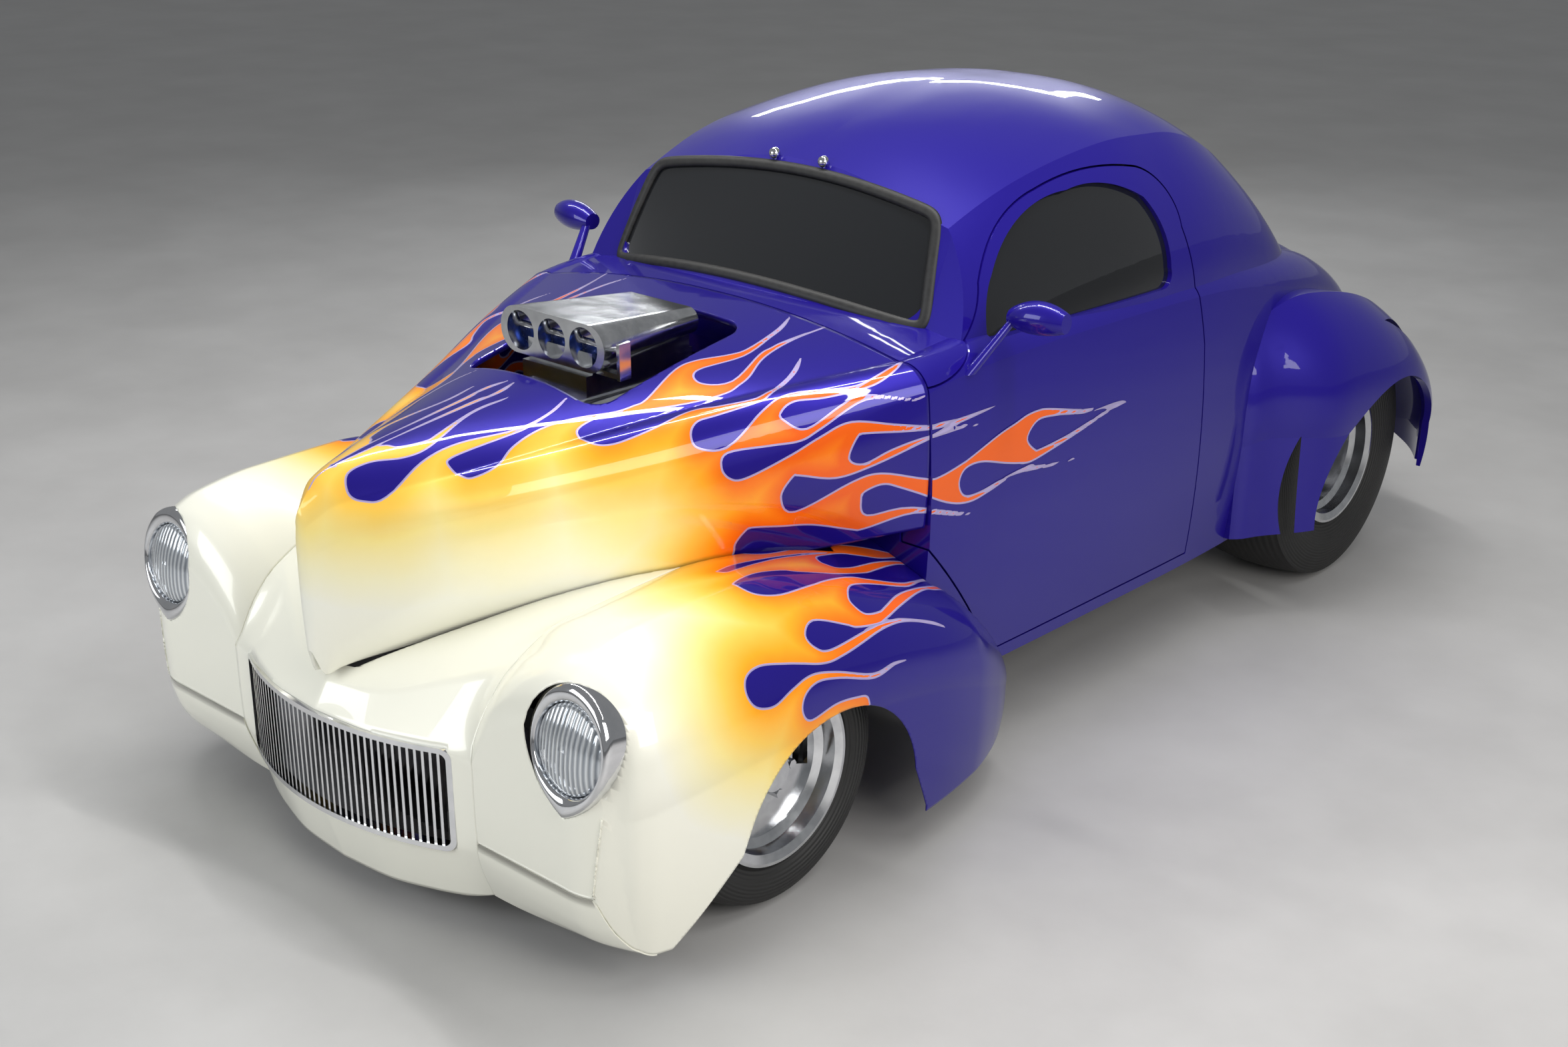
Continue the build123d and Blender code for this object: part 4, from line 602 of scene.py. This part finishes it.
y = np.append(np.arange(FRONT_Y, FENDER[-1][0] - 4, FINE), float(FENDER[-1][0]))
points, girth = panel_grid(fender_shape, y, 2 * (FENDER_GIRTH // FINE) + 1)
flat_points = points.reshape(-1, 3)
fire = fire_distance(fender_shape, flat_points, girth.ravel(), FENDER_FIRE, FENDER_CLOSE)
slit = fire_distance(fender_shape, flat_points, girth.ravel(), FENDER_SLIT, [])
fire = np.minimum(fire, -slit).reshape(girth.shape)
cap = points[:1].copy()
cap[..., 0] = np.minimum(cap[..., 0], CAP_X)
cap[..., 2] = CAP_Z
cap_rows, chin_rows = 40, 30
down = np.linspace(1, 0, cap_rows, endpoint=False)[:, None, None]
points = np.concatenate([points[:1] + (cap - points[:1]) * down, points])
fire = np.concatenate([np.repeat(fire[:1], cap_rows, 0), fire])
faces = net(*fire.shape)
chin_y = np.linspace(FRONT_Y, CHIN_Y, chin_rows)
low_row = spread(FENDER_COLUMNS, FENDER, chin_y)
t = (CAP_X - cap[:, ::-1, 0]) / (CAP_X - cap[0, 0, 0])
chin_x = low_row["low_x"][:, None] + (low_row["in_x"] - low_row["low_x"])[:, None] * t
steep = FRONT_Y + CHIN_REACH * np.clip((CAP_Z - low_row["low_z"]) / CHIN_DROP, 0, 1) ** CHIN_BEND
chin_back = chin_y[:, None] + (steep - chin_y)[:, None] * (1 - (1 - t) ** 2)
chin = np.stack([chin_x, chin_back, low_row["low_z"][:, None] + 0 * chin_x], -1)
p = np.vstack([points.reshape(-1, 3), chin.reshape(-1, 3)])
front = np.clip((CHIN_Y - p[:, 1]) / (CHIN_Y - FRONT_Y), 0, 1)
sideways = np.clip((p[:, 0] - SIDE_ROLL["start"]) / SIDE_ROLL["over"], 0, 1.3)
downwards = np.clip((FOOT_ROLL["start"] - p[:, 2]) / FOOT_ROLL["over"], 0, 1.3)
p[:, 1] += front * (SIDE_ROLL["back"] * sideways ** 2 + FOOT_ROLL["back"] * downwards ** 2)
faces = np.vstack([faces, net(*chin_x.shape)[:, ::-1] + fire.size])
chin_end = p[fire.size:].reshape(*chin_x.shape, 3)[::-1, -1]
seam = np.vstack([chin_end, p[:fire.size].reshape(*fire.shape, 3)[:, 0]])
fire = np.append(fire.ravel(), np.full(chin_x.size, DEEP_FIRE))
side_view = p[:, 1:]
arch = np.hypot(p[:, 1] - ARCH["y"], p[:, 2] - ARCH["z"]) - ARCH["r"]
arch = np.minimum(arch, outside_of(side_view, ARCH_FOOT))
lean = LAMP["lean"]
from_lamp = p - [LAMP["x"], LAMP["y"], LAMP["z"]]
up_lamp = from_lamp[:, 1] * math.sin(lean) + from_lamp[:, 2] * math.cos(lean)
in_lamp_plane = np.stack([from_lamp[:, 0], up_lamp], 1)
ahead = -from_lamp[:, 1] * math.cos(lean) + from_lamp[:, 2] * math.sin(lean)
fields = [
    np.maximum(arch, ARCH["inner"] - p[:, 0]),
    past_hood(p[:, 0], p[:, 1], p[:, 2]),
    np.maximum(p[:, 0] - TUB_SIDE, HOOD_GAP["cowl"] - 0.4 - p[:, 1]),
    np.maximum(outside_of(in_lamp_plane, bezel_outline()), -LAMP["deep"] - ahead),
]
data = np.column_stack([p, fire] + fields)
for column in range(4, 8):
    data, faces = trim(data, faces, column)
for side, sign in (("left", 1), ("right", -1)):
    fender = build("fender_skin_" + side, data[:, :3] * [sign, 1, 1], faces[:, ::-sign], fire_paint, data[:, 3])
    thicken(fender, FENDER_WALL)
    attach(fender, "body")
    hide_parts("front_fender_" + side)

# Nose panel: one steel pressing between the fenders, from under the hood over the brow to the chin,
# with a rounded opening for the grille, in the palest part of the fire.
NOSE_COLUMNS = "y a_y a_z b_y b_z c_y c_z d_y d_z e_y e_z f_y f_z".split()
NOSE = [
    (0, -500, 556, -562, 538, -616, 506, -652, 452, -648, 205, -606, 66),
    (140, -300, 596, -470, 572, -580, 515, -640, 451, -637, 208, -598, 69),
    (280, -60, 650, -300, 640, -505, 560, -606, 448, -603, 214, -566, 76),
    (SEAM_X, 160, 688, -180, 682, -430, 614, -552, 440, -552, 225, -520, 88),
]
GRILLE = dict(half=372.4, low=206.6, high=450.4, round=26)
EDGE_X = SEAM_X - 0.4
BLEND_X = 340
SEAM_STEP = 0.5
NOSE_WALL = 10


def nose_shape(x, v):
    """Nose panel at that distance from the middle: an arc under the hood, then brow, grille face and chin."""
    s = spread(NOSE_COLUMNS, NOSE, x)
    p = {k: (s[k + "_y"], s[k + "_z"]) for k in "abcdef"}
    y, z = arc(p["a"], p["b"], p["c"], np.clip(v, 0, 1))
    for k, (q, r) in enumerate((("c", "d"), ("d", "e"), ("e", "f"))):
        t, mine = np.clip(v - 1 - k, 0, 1), v > 1 + k
        y = np.where(mine, p[q][0] + (p[r][0] - p[q][0]) * t, y)
        z = np.where(mine, p[q][1] + (p[r][1] - p[q][1]) * t, z)
    return np.stack([x + 0 * y, y, z], -1)


x = np.append(np.arange(-EDGE_X, EDGE_X - 0.5, FINE), EDGE_X)
v = np.concatenate([np.linspace(0, 1, 40), np.linspace(1, 2, 9)[1:], np.linspace(2, 3, 30)[1:],
                    np.linspace(3, 4, 18)[1:]])
across, down = np.meshgrid(x, v, indexing="ij")
points = nose_shape(np.abs(across), down)
points[..., 0] = across
steps = np.append(0, np.cumsum(np.linalg.norm(np.diff(seam, axis=0), axis=1)))
seam = np.stack([np.interp(np.arange(0, steps[-1], SEAM_STEP), steps, seam[:, k]) for k in range(3)], 1)
edge = points[-1]
onto = seam[[np.argmin(np.linalg.norm(seam[:, 1:] - q[1:], axis=1)) for q in edge]] - edge
blend = np.clip((np.abs(across) - BLEND_X) / (EDGE_X - BLEND_X), 0, 1)[..., None] ** 2
points += blend * onto[None] * np.stack([np.sign(across), 1 + 0 * across, 1 + 0 * across], -1)
p = points.reshape(-1, 3)
opening = rounded_box(p[:, 0], p[:, 2] - (GRILLE["low"] + GRILLE["high"]) / 2, GRILLE["half"],
                      (GRILLE["high"] - GRILLE["low"]) / 2, GRILLE["round"])
data = np.column_stack([p, DEEP_FIRE + 0 * p[:, 0], past_hood(p[:, 0], p[:, 1], p[:, 2]), opening])
faces = net(len(x), len(v))
for column in (4, 5):
    data, faces = trim(data, faces, column)
nose = build("nose_skin", data[:, :3], faces[:, ::-1], fire_paint, data[:, 3])
thicken(nose, NOSE_WALL)
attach(nose, "body")
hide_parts("nose_panel")

# Licks on the doors: the tips of the hood's fire run on over the door skins.
# They are paint only, a thin film on the door's own steel.
PAINT = 1.4
LICKS = dict(front=594, rear=1420, top_girth=40)
y = np.arange(LICKS["front"], LICKS["rear"], FINE / 2)
points, girth = panel_grid(hood_and_tub, y, 1200 // FINE)
fire = fire_distance(hood_and_tub, points.reshape(-1, 3), girth.ravel(), HOOD_FIRE, HOOD_CLOSE)
p = points.reshape(-1, 3) + [PAINT, 0, 0]
data = np.column_stack([p, fire, fire + STRIPE, LICKS["top_girth"] - girth.ravel()])
faces = net(*girth.shape)
for column in (4, 5):
    data, faces = trim(data, faces, column)
for side, sign in (("left", 1), ("right", -1)):
    lick = build("door_fire_" + side, data[:, :3] * [sign, 1, 1], faces[:, ::sign], fire_paint, data[:, 3])
    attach(lick, "door_" + side)

# Windows: dark tinted safety glass in the screen, the doors and the back.
# The panes are the construction's own solids, cut to the openings, and only get their tint here.
glass, nodes, links, surface = new_material(
    "dark_glass", (0.008, 0.009, 0.011), 0, 0.04, Coat_Weight=1.0, Coat_Roughness=0.02, Alpha=0.88
)
for name in ("windscreen", "rear_window", "door_glass_left", "door_glass_right"):
    cad[name].data.materials.clear()
    cad[name].data.materials.append(glass)

# Screen moulding: one thick strip of black rubber, pressed round the edge of the screen into its opening.
# Its line is drawn on the screen's outer face and eased at the corners.
rubber = mottle(new_material("rubber", (0.012, 0.012, 0.012), 0, 0.55), 60, (0.008, 0.008, 0.008),
                (0.02, 0.02, 0.02), 0.45, 0.65, 0.0003)
SCREEN = dict(half=530.0, low=900, tall=800, middle=(440, 1168), pillar=(672, 1031), out=8)


def screen_point(x, z):
    """The screen's outer face: at each height a circle arc through its middle and its two pillars."""
    up = (z - SCREEN["low"]) / SCREEN["tall"]
    middle, pillar = (
        low + up * (high - low) + SCREEN["out"] for low, high in (SCREEN["middle"], SCREEN["pillar"])
    )
    sag = pillar - middle
    r = (SCREEN["half"]**2 + sag**2) / (2 * sag)
    return np.stack([x, middle + r - np.sqrt(r**2 - x**2), z], -1)


def closed_tube(name, path, lift, wide, high, material, around=12):
    """A closed moulding along the path: round each point an ellipse, wide along the face and high off it."""
    tangent = np.roll(path, -1, 0) - np.roll(path, 1, 0)
    tangent /= np.linalg.norm(tangent, axis=1)[:, None]
    across = np.cross(tangent, lift)
    across /= np.linalg.norm(across, axis=1)[:, None]
    phi = np.linspace(0, 2 * np.pi, around, endpoint=False)
    ring = (path[:, None] + wide * np.cos(phi)[None, :, None] * across[:, None]
            + high * np.sin(phi)[None, :, None] * lift[:, None])
    k = np.arange(len(path) * around).reshape(len(path), around)
    a, b = k, np.roll(k, -1, 0)
    quads = np.stack([a, b, np.roll(b, -1, 1), np.roll(a, -1, 1)], -1).reshape(-1, 4)
    faces = np.vstack([quads[:, [0, 1, 2]], quads[:, [0, 2, 3]]])
    return build(name, ring.reshape(-1, 3), faces, material)


def rounded_loop(corners_and_arcs, count=360, softness=26.0):
    """A closed line through arcs laid end to end, evenly spaced and then eased at its corners."""
    t = np.linspace(0, 1, 60, endpoint=False)
    line = np.vstack([np.stack(arc(*a, t), -1) for a in corners_and_arcs])
    line = np.vstack([line, line[:1]])
    run = np.append(0, np.cumsum(np.linalg.norm(np.diff(line, axis=0), axis=1)))
    even = np.linspace(0, run[-1], count, endpoint=False)
    loop = np.stack([np.interp(even, run, line[:, k]) for k in range(2)], 1)
    reach = int(3 * softness / (run[-1] / count)) + 1
    weight = np.exp(-0.5 * (np.arange(-reach, reach + 1) * (run[-1] / count) / softness) ** 2)
    weight /= weight.sum()
    return sum(w * np.roll(loop, n, 0) for w, n in zip(weight, range(-reach, reach + 1)))


loop = rounded_loop([
    ((-528.0, 1104.0), (0.0, 1160.0), (528.0, 1104.0)), ((528.0, 1104.0), (504.0, 1228.0), (478.0, 1352.0)),
    ((478.0, 1352.0), (0.0, 1396.0), (-478.0, 1352.0)), ((-478.0, 1352.0), (-504.0, 1228.0), (-528.0, 1104.0)),
])
path = screen_point(loop[:, 0], loop[:, 1])
over, beside = screen_point(loop[:, 0], loop[:, 1] + 5) - path, screen_point(loop[:, 0] + 2, loop[:, 1]) - path
lift = np.cross(beside, over)
lift /= np.linalg.norm(lift, axis=1)[:, None]
lift *= -np.sign(lift[:, 1:2])
moulding = closed_tube("screen_moulding", path + lift * 4, lift, 15, 10, rubber)
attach(moulding, "body")

# Grille: upright steel bars in a frame, plated with bright chrome and set into the nose panel's opening.
# The bars are the construction's own solid and only get their plating here.
chrome = mottle(new_material("chrome", (0.75, 0.76, 0.78), 1.0, 0.06), 30, (0.72, 0.73, 0.75), (0.8, 0.8, 0.82),
                0.03, 0.1)
cad["grille"].data.materials.clear()
cad["grille"].data.materials.append(chrome)

# Scoop, blower case and wheel rims: cast aluminium, machined and polished by hand,
# so that a faint mottling stays in the shine.
polished = mottle(new_material("polished", (0.7, 0.71, 0.73), 1.0, 0.16), 22, (0.6, 0.61, 0.63),
                  (0.76, 0.77, 0.79), 0.1, 0.24, 0.0002)
for name in ("scoop", "blower", "rim_front_left", "rim_front_right", "rim_rear_left", "rim_rear_right"):
    cad[name].data.materials.clear()
    cad[name].data.materials.append(polished)

# Roof knobs: two small turned and chromed knobs, screwed to the roof above the screen.
# Each is a stem in the roof with a rounded head.
def turned(name, profile, centre, axis, material, around=32):
    """A turned piece: profile rows are distance along the axis and radius, swept round it."""
    axis = np.array(axis, float) / np.linalg.norm(axis)
    u = np.cross(axis, [1, 0, 0] if abs(axis[0]) < 0.9 else [0, 1, 0])
    u /= np.linalg.norm(u)
    w = np.cross(axis, u)
    rows = np.array(profile, float)
    phi = np.linspace(0, 2 * np.pi, around, endpoint=False)
    circle = np.cos(phi)[:, None] * u + np.sin(phi)[:, None] * w
    points = np.array(centre) + rows[:, None, :1] * axis + rows[:, None, 1:] * circle[None]
    k = np.arange(len(rows) * around).reshape(len(rows), around)
    a, b = k[:-1], k[1:]
    quads = np.stack([a, b, np.roll(b, -1, 1), np.roll(a, -1, 1)], -1).reshape(-1, 4)
    faces = np.vstack([quads[:, [0, 2, 1]], quads[:, [0, 3, 2]]])
    return build(name, points.reshape(-1, 3), faces, material)


KNOB = [(-14, 0.01), (-14, 9), (4, 9), (6, 13), (12, 15), (20, 14), (26, 9), (29, 0.01)]
KNOB_X, KNOB_Y, KNOB_Z = 83, 912, 1414
for side, sign in (("left", 1), ("right", -1)):
    knob = turned("roof_knob_" + side, KNOB, (sign * KNOB_X, KNOB_Y, KNOB_Z), (0, -0.45, 0.89), chrome)
    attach(knob, "body")

# Headlamp bezels: teardrop rings of pressed metal with chrome plate, rounded in section.
# They are screwed to the fenders and hold the headlamp glasses.
def lamp_point(u, w, out):
    """A point by its place across and up the lamp's plane, and how far it stands out of it."""
    return np.stack([LAMP["x"] + u, LAMP["y"] + w * math.sin(lean) - out * math.cos(lean),
                     LAMP["z"] + w * math.cos(lean) + out * math.sin(lean)], -1)


rim_line = bezel_outline(24)
turn = np.arctan2(rim_line[:, 1], rim_line[:, 0])
circle = LAMP["lens_r"] * np.stack([np.cos(turn), np.sin(turn)], 1)
ROUND = [(0.0, -12), (0.0, 4), (0.04, 9), (0.15, 14), (0.4, 18), (0.7, 17), (0.9, 12), (0.98, 5), (1.0, -4),
         (1.0, -58)]
flat = np.array([circle + (rim_line - circle) * share for share, _ in ROUND])
out = np.array([height for _, height in ROUND])[:, None] + 0 * flat[..., 0]
ring = lamp_point(flat[..., 0], flat[..., 1], out)
k = np.arange(ring.shape[0] * ring.shape[1]).reshape(ring.shape[:2])
quads = np.stack([k[:-1], k[1:], np.roll(k[1:], -1, 1), np.roll(k[:-1], -1, 1)], -1).reshape(-1, 4)
ring_faces = np.vstack([quads[:, [0, 1, 2]], quads[:, [0, 2, 3]]])
for side, sign in (("left", 1), ("right", -1)):
    bezel = build("bezel_" + side, ring.reshape(-1, 3) * [sign, 1, 1], ring_faces[:, ::sign], chrome)
    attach(bezel, "body")
    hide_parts("headlamp_bezels")

# Throttle plates: thin anodised aluminium discs on one shaft, shut across the three mouths of the scoop.
# They are screwed to the shaft and ride with the engine.
anodised = mottle(new_material("anodised", (0.01, 0.03, 0.2), 0.8, 0.25), 40, (0.008, 0.025, 0.17),
                  (0.015, 0.045, 0.26), 0.2, 0.35)
PLATE = [(0, 0.01), (0, 45), (1.5, 46), (3, 46), (3, 0.01)]
PLATE_X, PLATE_Y, PLATE_Z = 108, 108.6, 1130
for side, sign in (("left", 1), ("middle", 0), ("right", -1)):
    place = (sign * PLATE_X, PLATE_Y, PLATE_Z)
    plate = turned("throttle_plate_" + side, PLATE, place, (0, -1, 0.04), anodised, 40)
    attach(plate, "body")

# Headlamp glasses: domed pressed glass with upright flutes, held in the bezels.
# A silvery shine in the glass stands for the bright reflector behind it.
lens, nodes, links, surface = new_material(
    "lamp_glass", (0.62, 0.66, 0.7), 0.55, 0.12, Coat_Weight=1.0, Coat_Roughness=0.02
)
place = nodes.new("ShaderNodeTexCoord")
flutes = pick(nodes, "ShaderNodeTexWave", Scale=24.0, Distortion=0.0)
links.new(place.outputs["Object"], flutes.inputs["Vector"])
bump = pick(nodes, "ShaderNodeBump", Strength=0.7, Distance=0.003)
links.new(flutes.outputs["Fac"], bump.inputs["Height"])
links.new(bump.outputs["Normal"], surface.inputs["Normal"])
# Painted highlights and painted shade: pale and dark bands along the flutes, set into the glass colour by the
# flute wave.
flute_light_and_shade = nodes.new("ShaderNodeValToRGB")
for element, colour in zip(flute_light_and_shade.color_ramp.elements, ((0.3, 0.33, 0.37), (0.8, 0.83, 0.86))):
    element.color = (*colour, 1)
links.new(flutes.outputs["Fac"], flute_light_and_shade.inputs["Fac"])
links.new(flute_light_and_shade.outputs["Color"], surface.inputs["Base Color"])
DOME = [(-14, 95), (2, 95), (6, 93), (11, 86), (17, 72), (22, 54), (25.5, 34), (27, 14), (27.5, 0.01)]
axis = lamp_point(0, 0, 1) - lamp_point(0, 0, 0)
for side, sign in (("left", 1), ("right", -1)):
    dome = turned("lamp_dome_" + side, DOME, (sign * LAMP["x"], LAMP["y"], LAMP["z"]), axis, lens, 64)
    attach(dome, "body")
    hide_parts("headlamps")

# Tail lamps: small red lenses of moulded plastic, screwed to the rear fenders.
# They are the construction's own solids and only get their colour here.
red = mottle(new_material("red_lens", (0.4, 0.01, 0.01), 0, 0.12, Coat_Weight=1.0), 90, (0.3, 0.006, 0.006),
             (0.5, 0.02, 0.015), 0.08, 0.2, 0.0006)
cad["tail_lamps"].data.materials.clear()
cad["tail_lamps"].data.materials.append(red)

# Tyres: black rubber, narrow at the front and very wide at the rear, pressed onto the rims.
# Raised rings run round the sidewalls and straight grooves round the tread.
def tyre_rubber(name, y, z, tread_r):
    """Rubber with raised rings on the sidewall and straight grooves round the tread, measured from the hub."""
    material, nodes, links, surface = new_material(name, (0.014, 0.014, 0.014), 0, 0.6)
    place = nodes.new("ShaderNodeTexCoord")
    split = nodes.new("ShaderNodeSeparateXYZ")
    links.new(place.outputs["Object"], split.inputs["Vector"])
    from_hub = nodes.new("ShaderNodeCombineXYZ")
    for axis, offset in (("Y", FRONT_AXLE + y / 1000), ("Z", z / 1000)):
        shift = nodes.new("ShaderNodeMath")
        shift.operation, shift.inputs[1].default_value = "SUBTRACT", offset
        links.new(split.outputs[axis], shift.inputs[0])
        links.new(shift.outputs["Value"], from_hub.inputs[axis])
    radius = nodes.new("ShaderNodeVectorMath")
    radius.operation = "LENGTH"
    links.new(from_hub.outputs["Vector"], radius.inputs[0])
    rings = nodes.new("ShaderNodeMath")
    rings.operation, rings.inputs[1].default_value = "MULTIPLY", 700.0
    links.new(radius.outputs["Value"], rings.inputs[0])
    grooves = nodes.new("ShaderNodeMath")
    grooves.operation, grooves.inputs[1].default_value = "MULTIPLY", 300.0
    links.new(split.outputs["X"], grooves.inputs[0])
    on_tread = nodes.new("ShaderNodeMath")
    on_tread.operation, on_tread.inputs[1].default_value = "GREATER_THAN", tread_r / 1000
    links.new(radius.outputs["Value"], on_tread.inputs[0])
    chosen = nodes.new("ShaderNodeMix")
    links.new(on_tread.outputs["Value"], chosen.inputs["Factor"])
    links.new(rings.outputs["Value"], chosen.inputs["A"])
    links.new(grooves.outputs["Value"], chosen.inputs["B"])
    wave = nodes.new("ShaderNodeMath")
    wave.operation = "SINE"
    links.new(chosen.outputs["Result"], wave.inputs[0])
    bump = pick(nodes, "ShaderNodeBump", Strength=0.5, Distance=0.0016)
    links.new(wave.outputs["Value"], bump.inputs["Height"])
    links.new(bump.outputs["Normal"], surface.inputs["Normal"])
    return material


for end, y_hub, z_hub, tread in (("front", 0, 311, 288), ("rear", 2540, 382, 360)):
    rubber_of_tyre = tyre_rubber("tyre_" + end, y_hub, z_hub, tread)
    for side in ("left", "right"):
        cad["tyre_" + end + "_" + side].data.materials.clear()
        cad["tyre_" + end + "_" + side].data.materials.append(rubber_of_tyre)

# Under the car and in it: frame, floor and axles in black paint, bare steel knuckles, exhaust and driveshaft,
# a cast iron engine block, leather seats, and grained black plastic on dashboard and steering wheel.
frame_black = mottle(new_material("frame_black", (0.012, 0.012, 0.012), 0, 0.35), 25, (0.008, 0.008, 0.009),
                     (0.022, 0.022, 0.022), 0.28, 0.5)
raw_steel = mottle(new_material("steel", (0.28, 0.28, 0.29), 0.9, 0.35), 35, (0.2, 0.2, 0.21),
                   (0.36, 0.35, 0.34), 0.25, 0.5, 0.0003)
cast = mottle(new_material("cast", (0.05, 0.05, 0.055), 0.5, 0.6), 130, (0.035, 0.035, 0.04),
              (0.09, 0.09, 0.095), 0.5, 0.75, 0.0008)
hide = mottle(new_material("hide", (0.03, 0.03, 0.033), 0, 0.5), 240, (0.02, 0.02, 0.022),
              (0.045, 0.045, 0.05), 0.42, 0.6, 0.0008)
grain = mottle(new_material("grain", (0.02, 0.02, 0.022), 0, 0.5), 400, (0.014, 0.014, 0.016),
               (0.03, 0.03, 0.033), 0.42, 0.6, 0.0004)
for names, material in (
    (("chassis_frame", "floor_pan", "front_suspension", "rear_axle"), frame_black),
    (("knuckle_left", "knuckle_right", "exhaust", "driveline"), raw_steel), (("engine_block",), cast),
    (("seats",), hide), (("dashboard", "steering_column", "steering_wheel", "radiator"), grain),
):
    for name in names:
        cad[name].data.materials.clear()
        cad[name].data.materials.append(material)
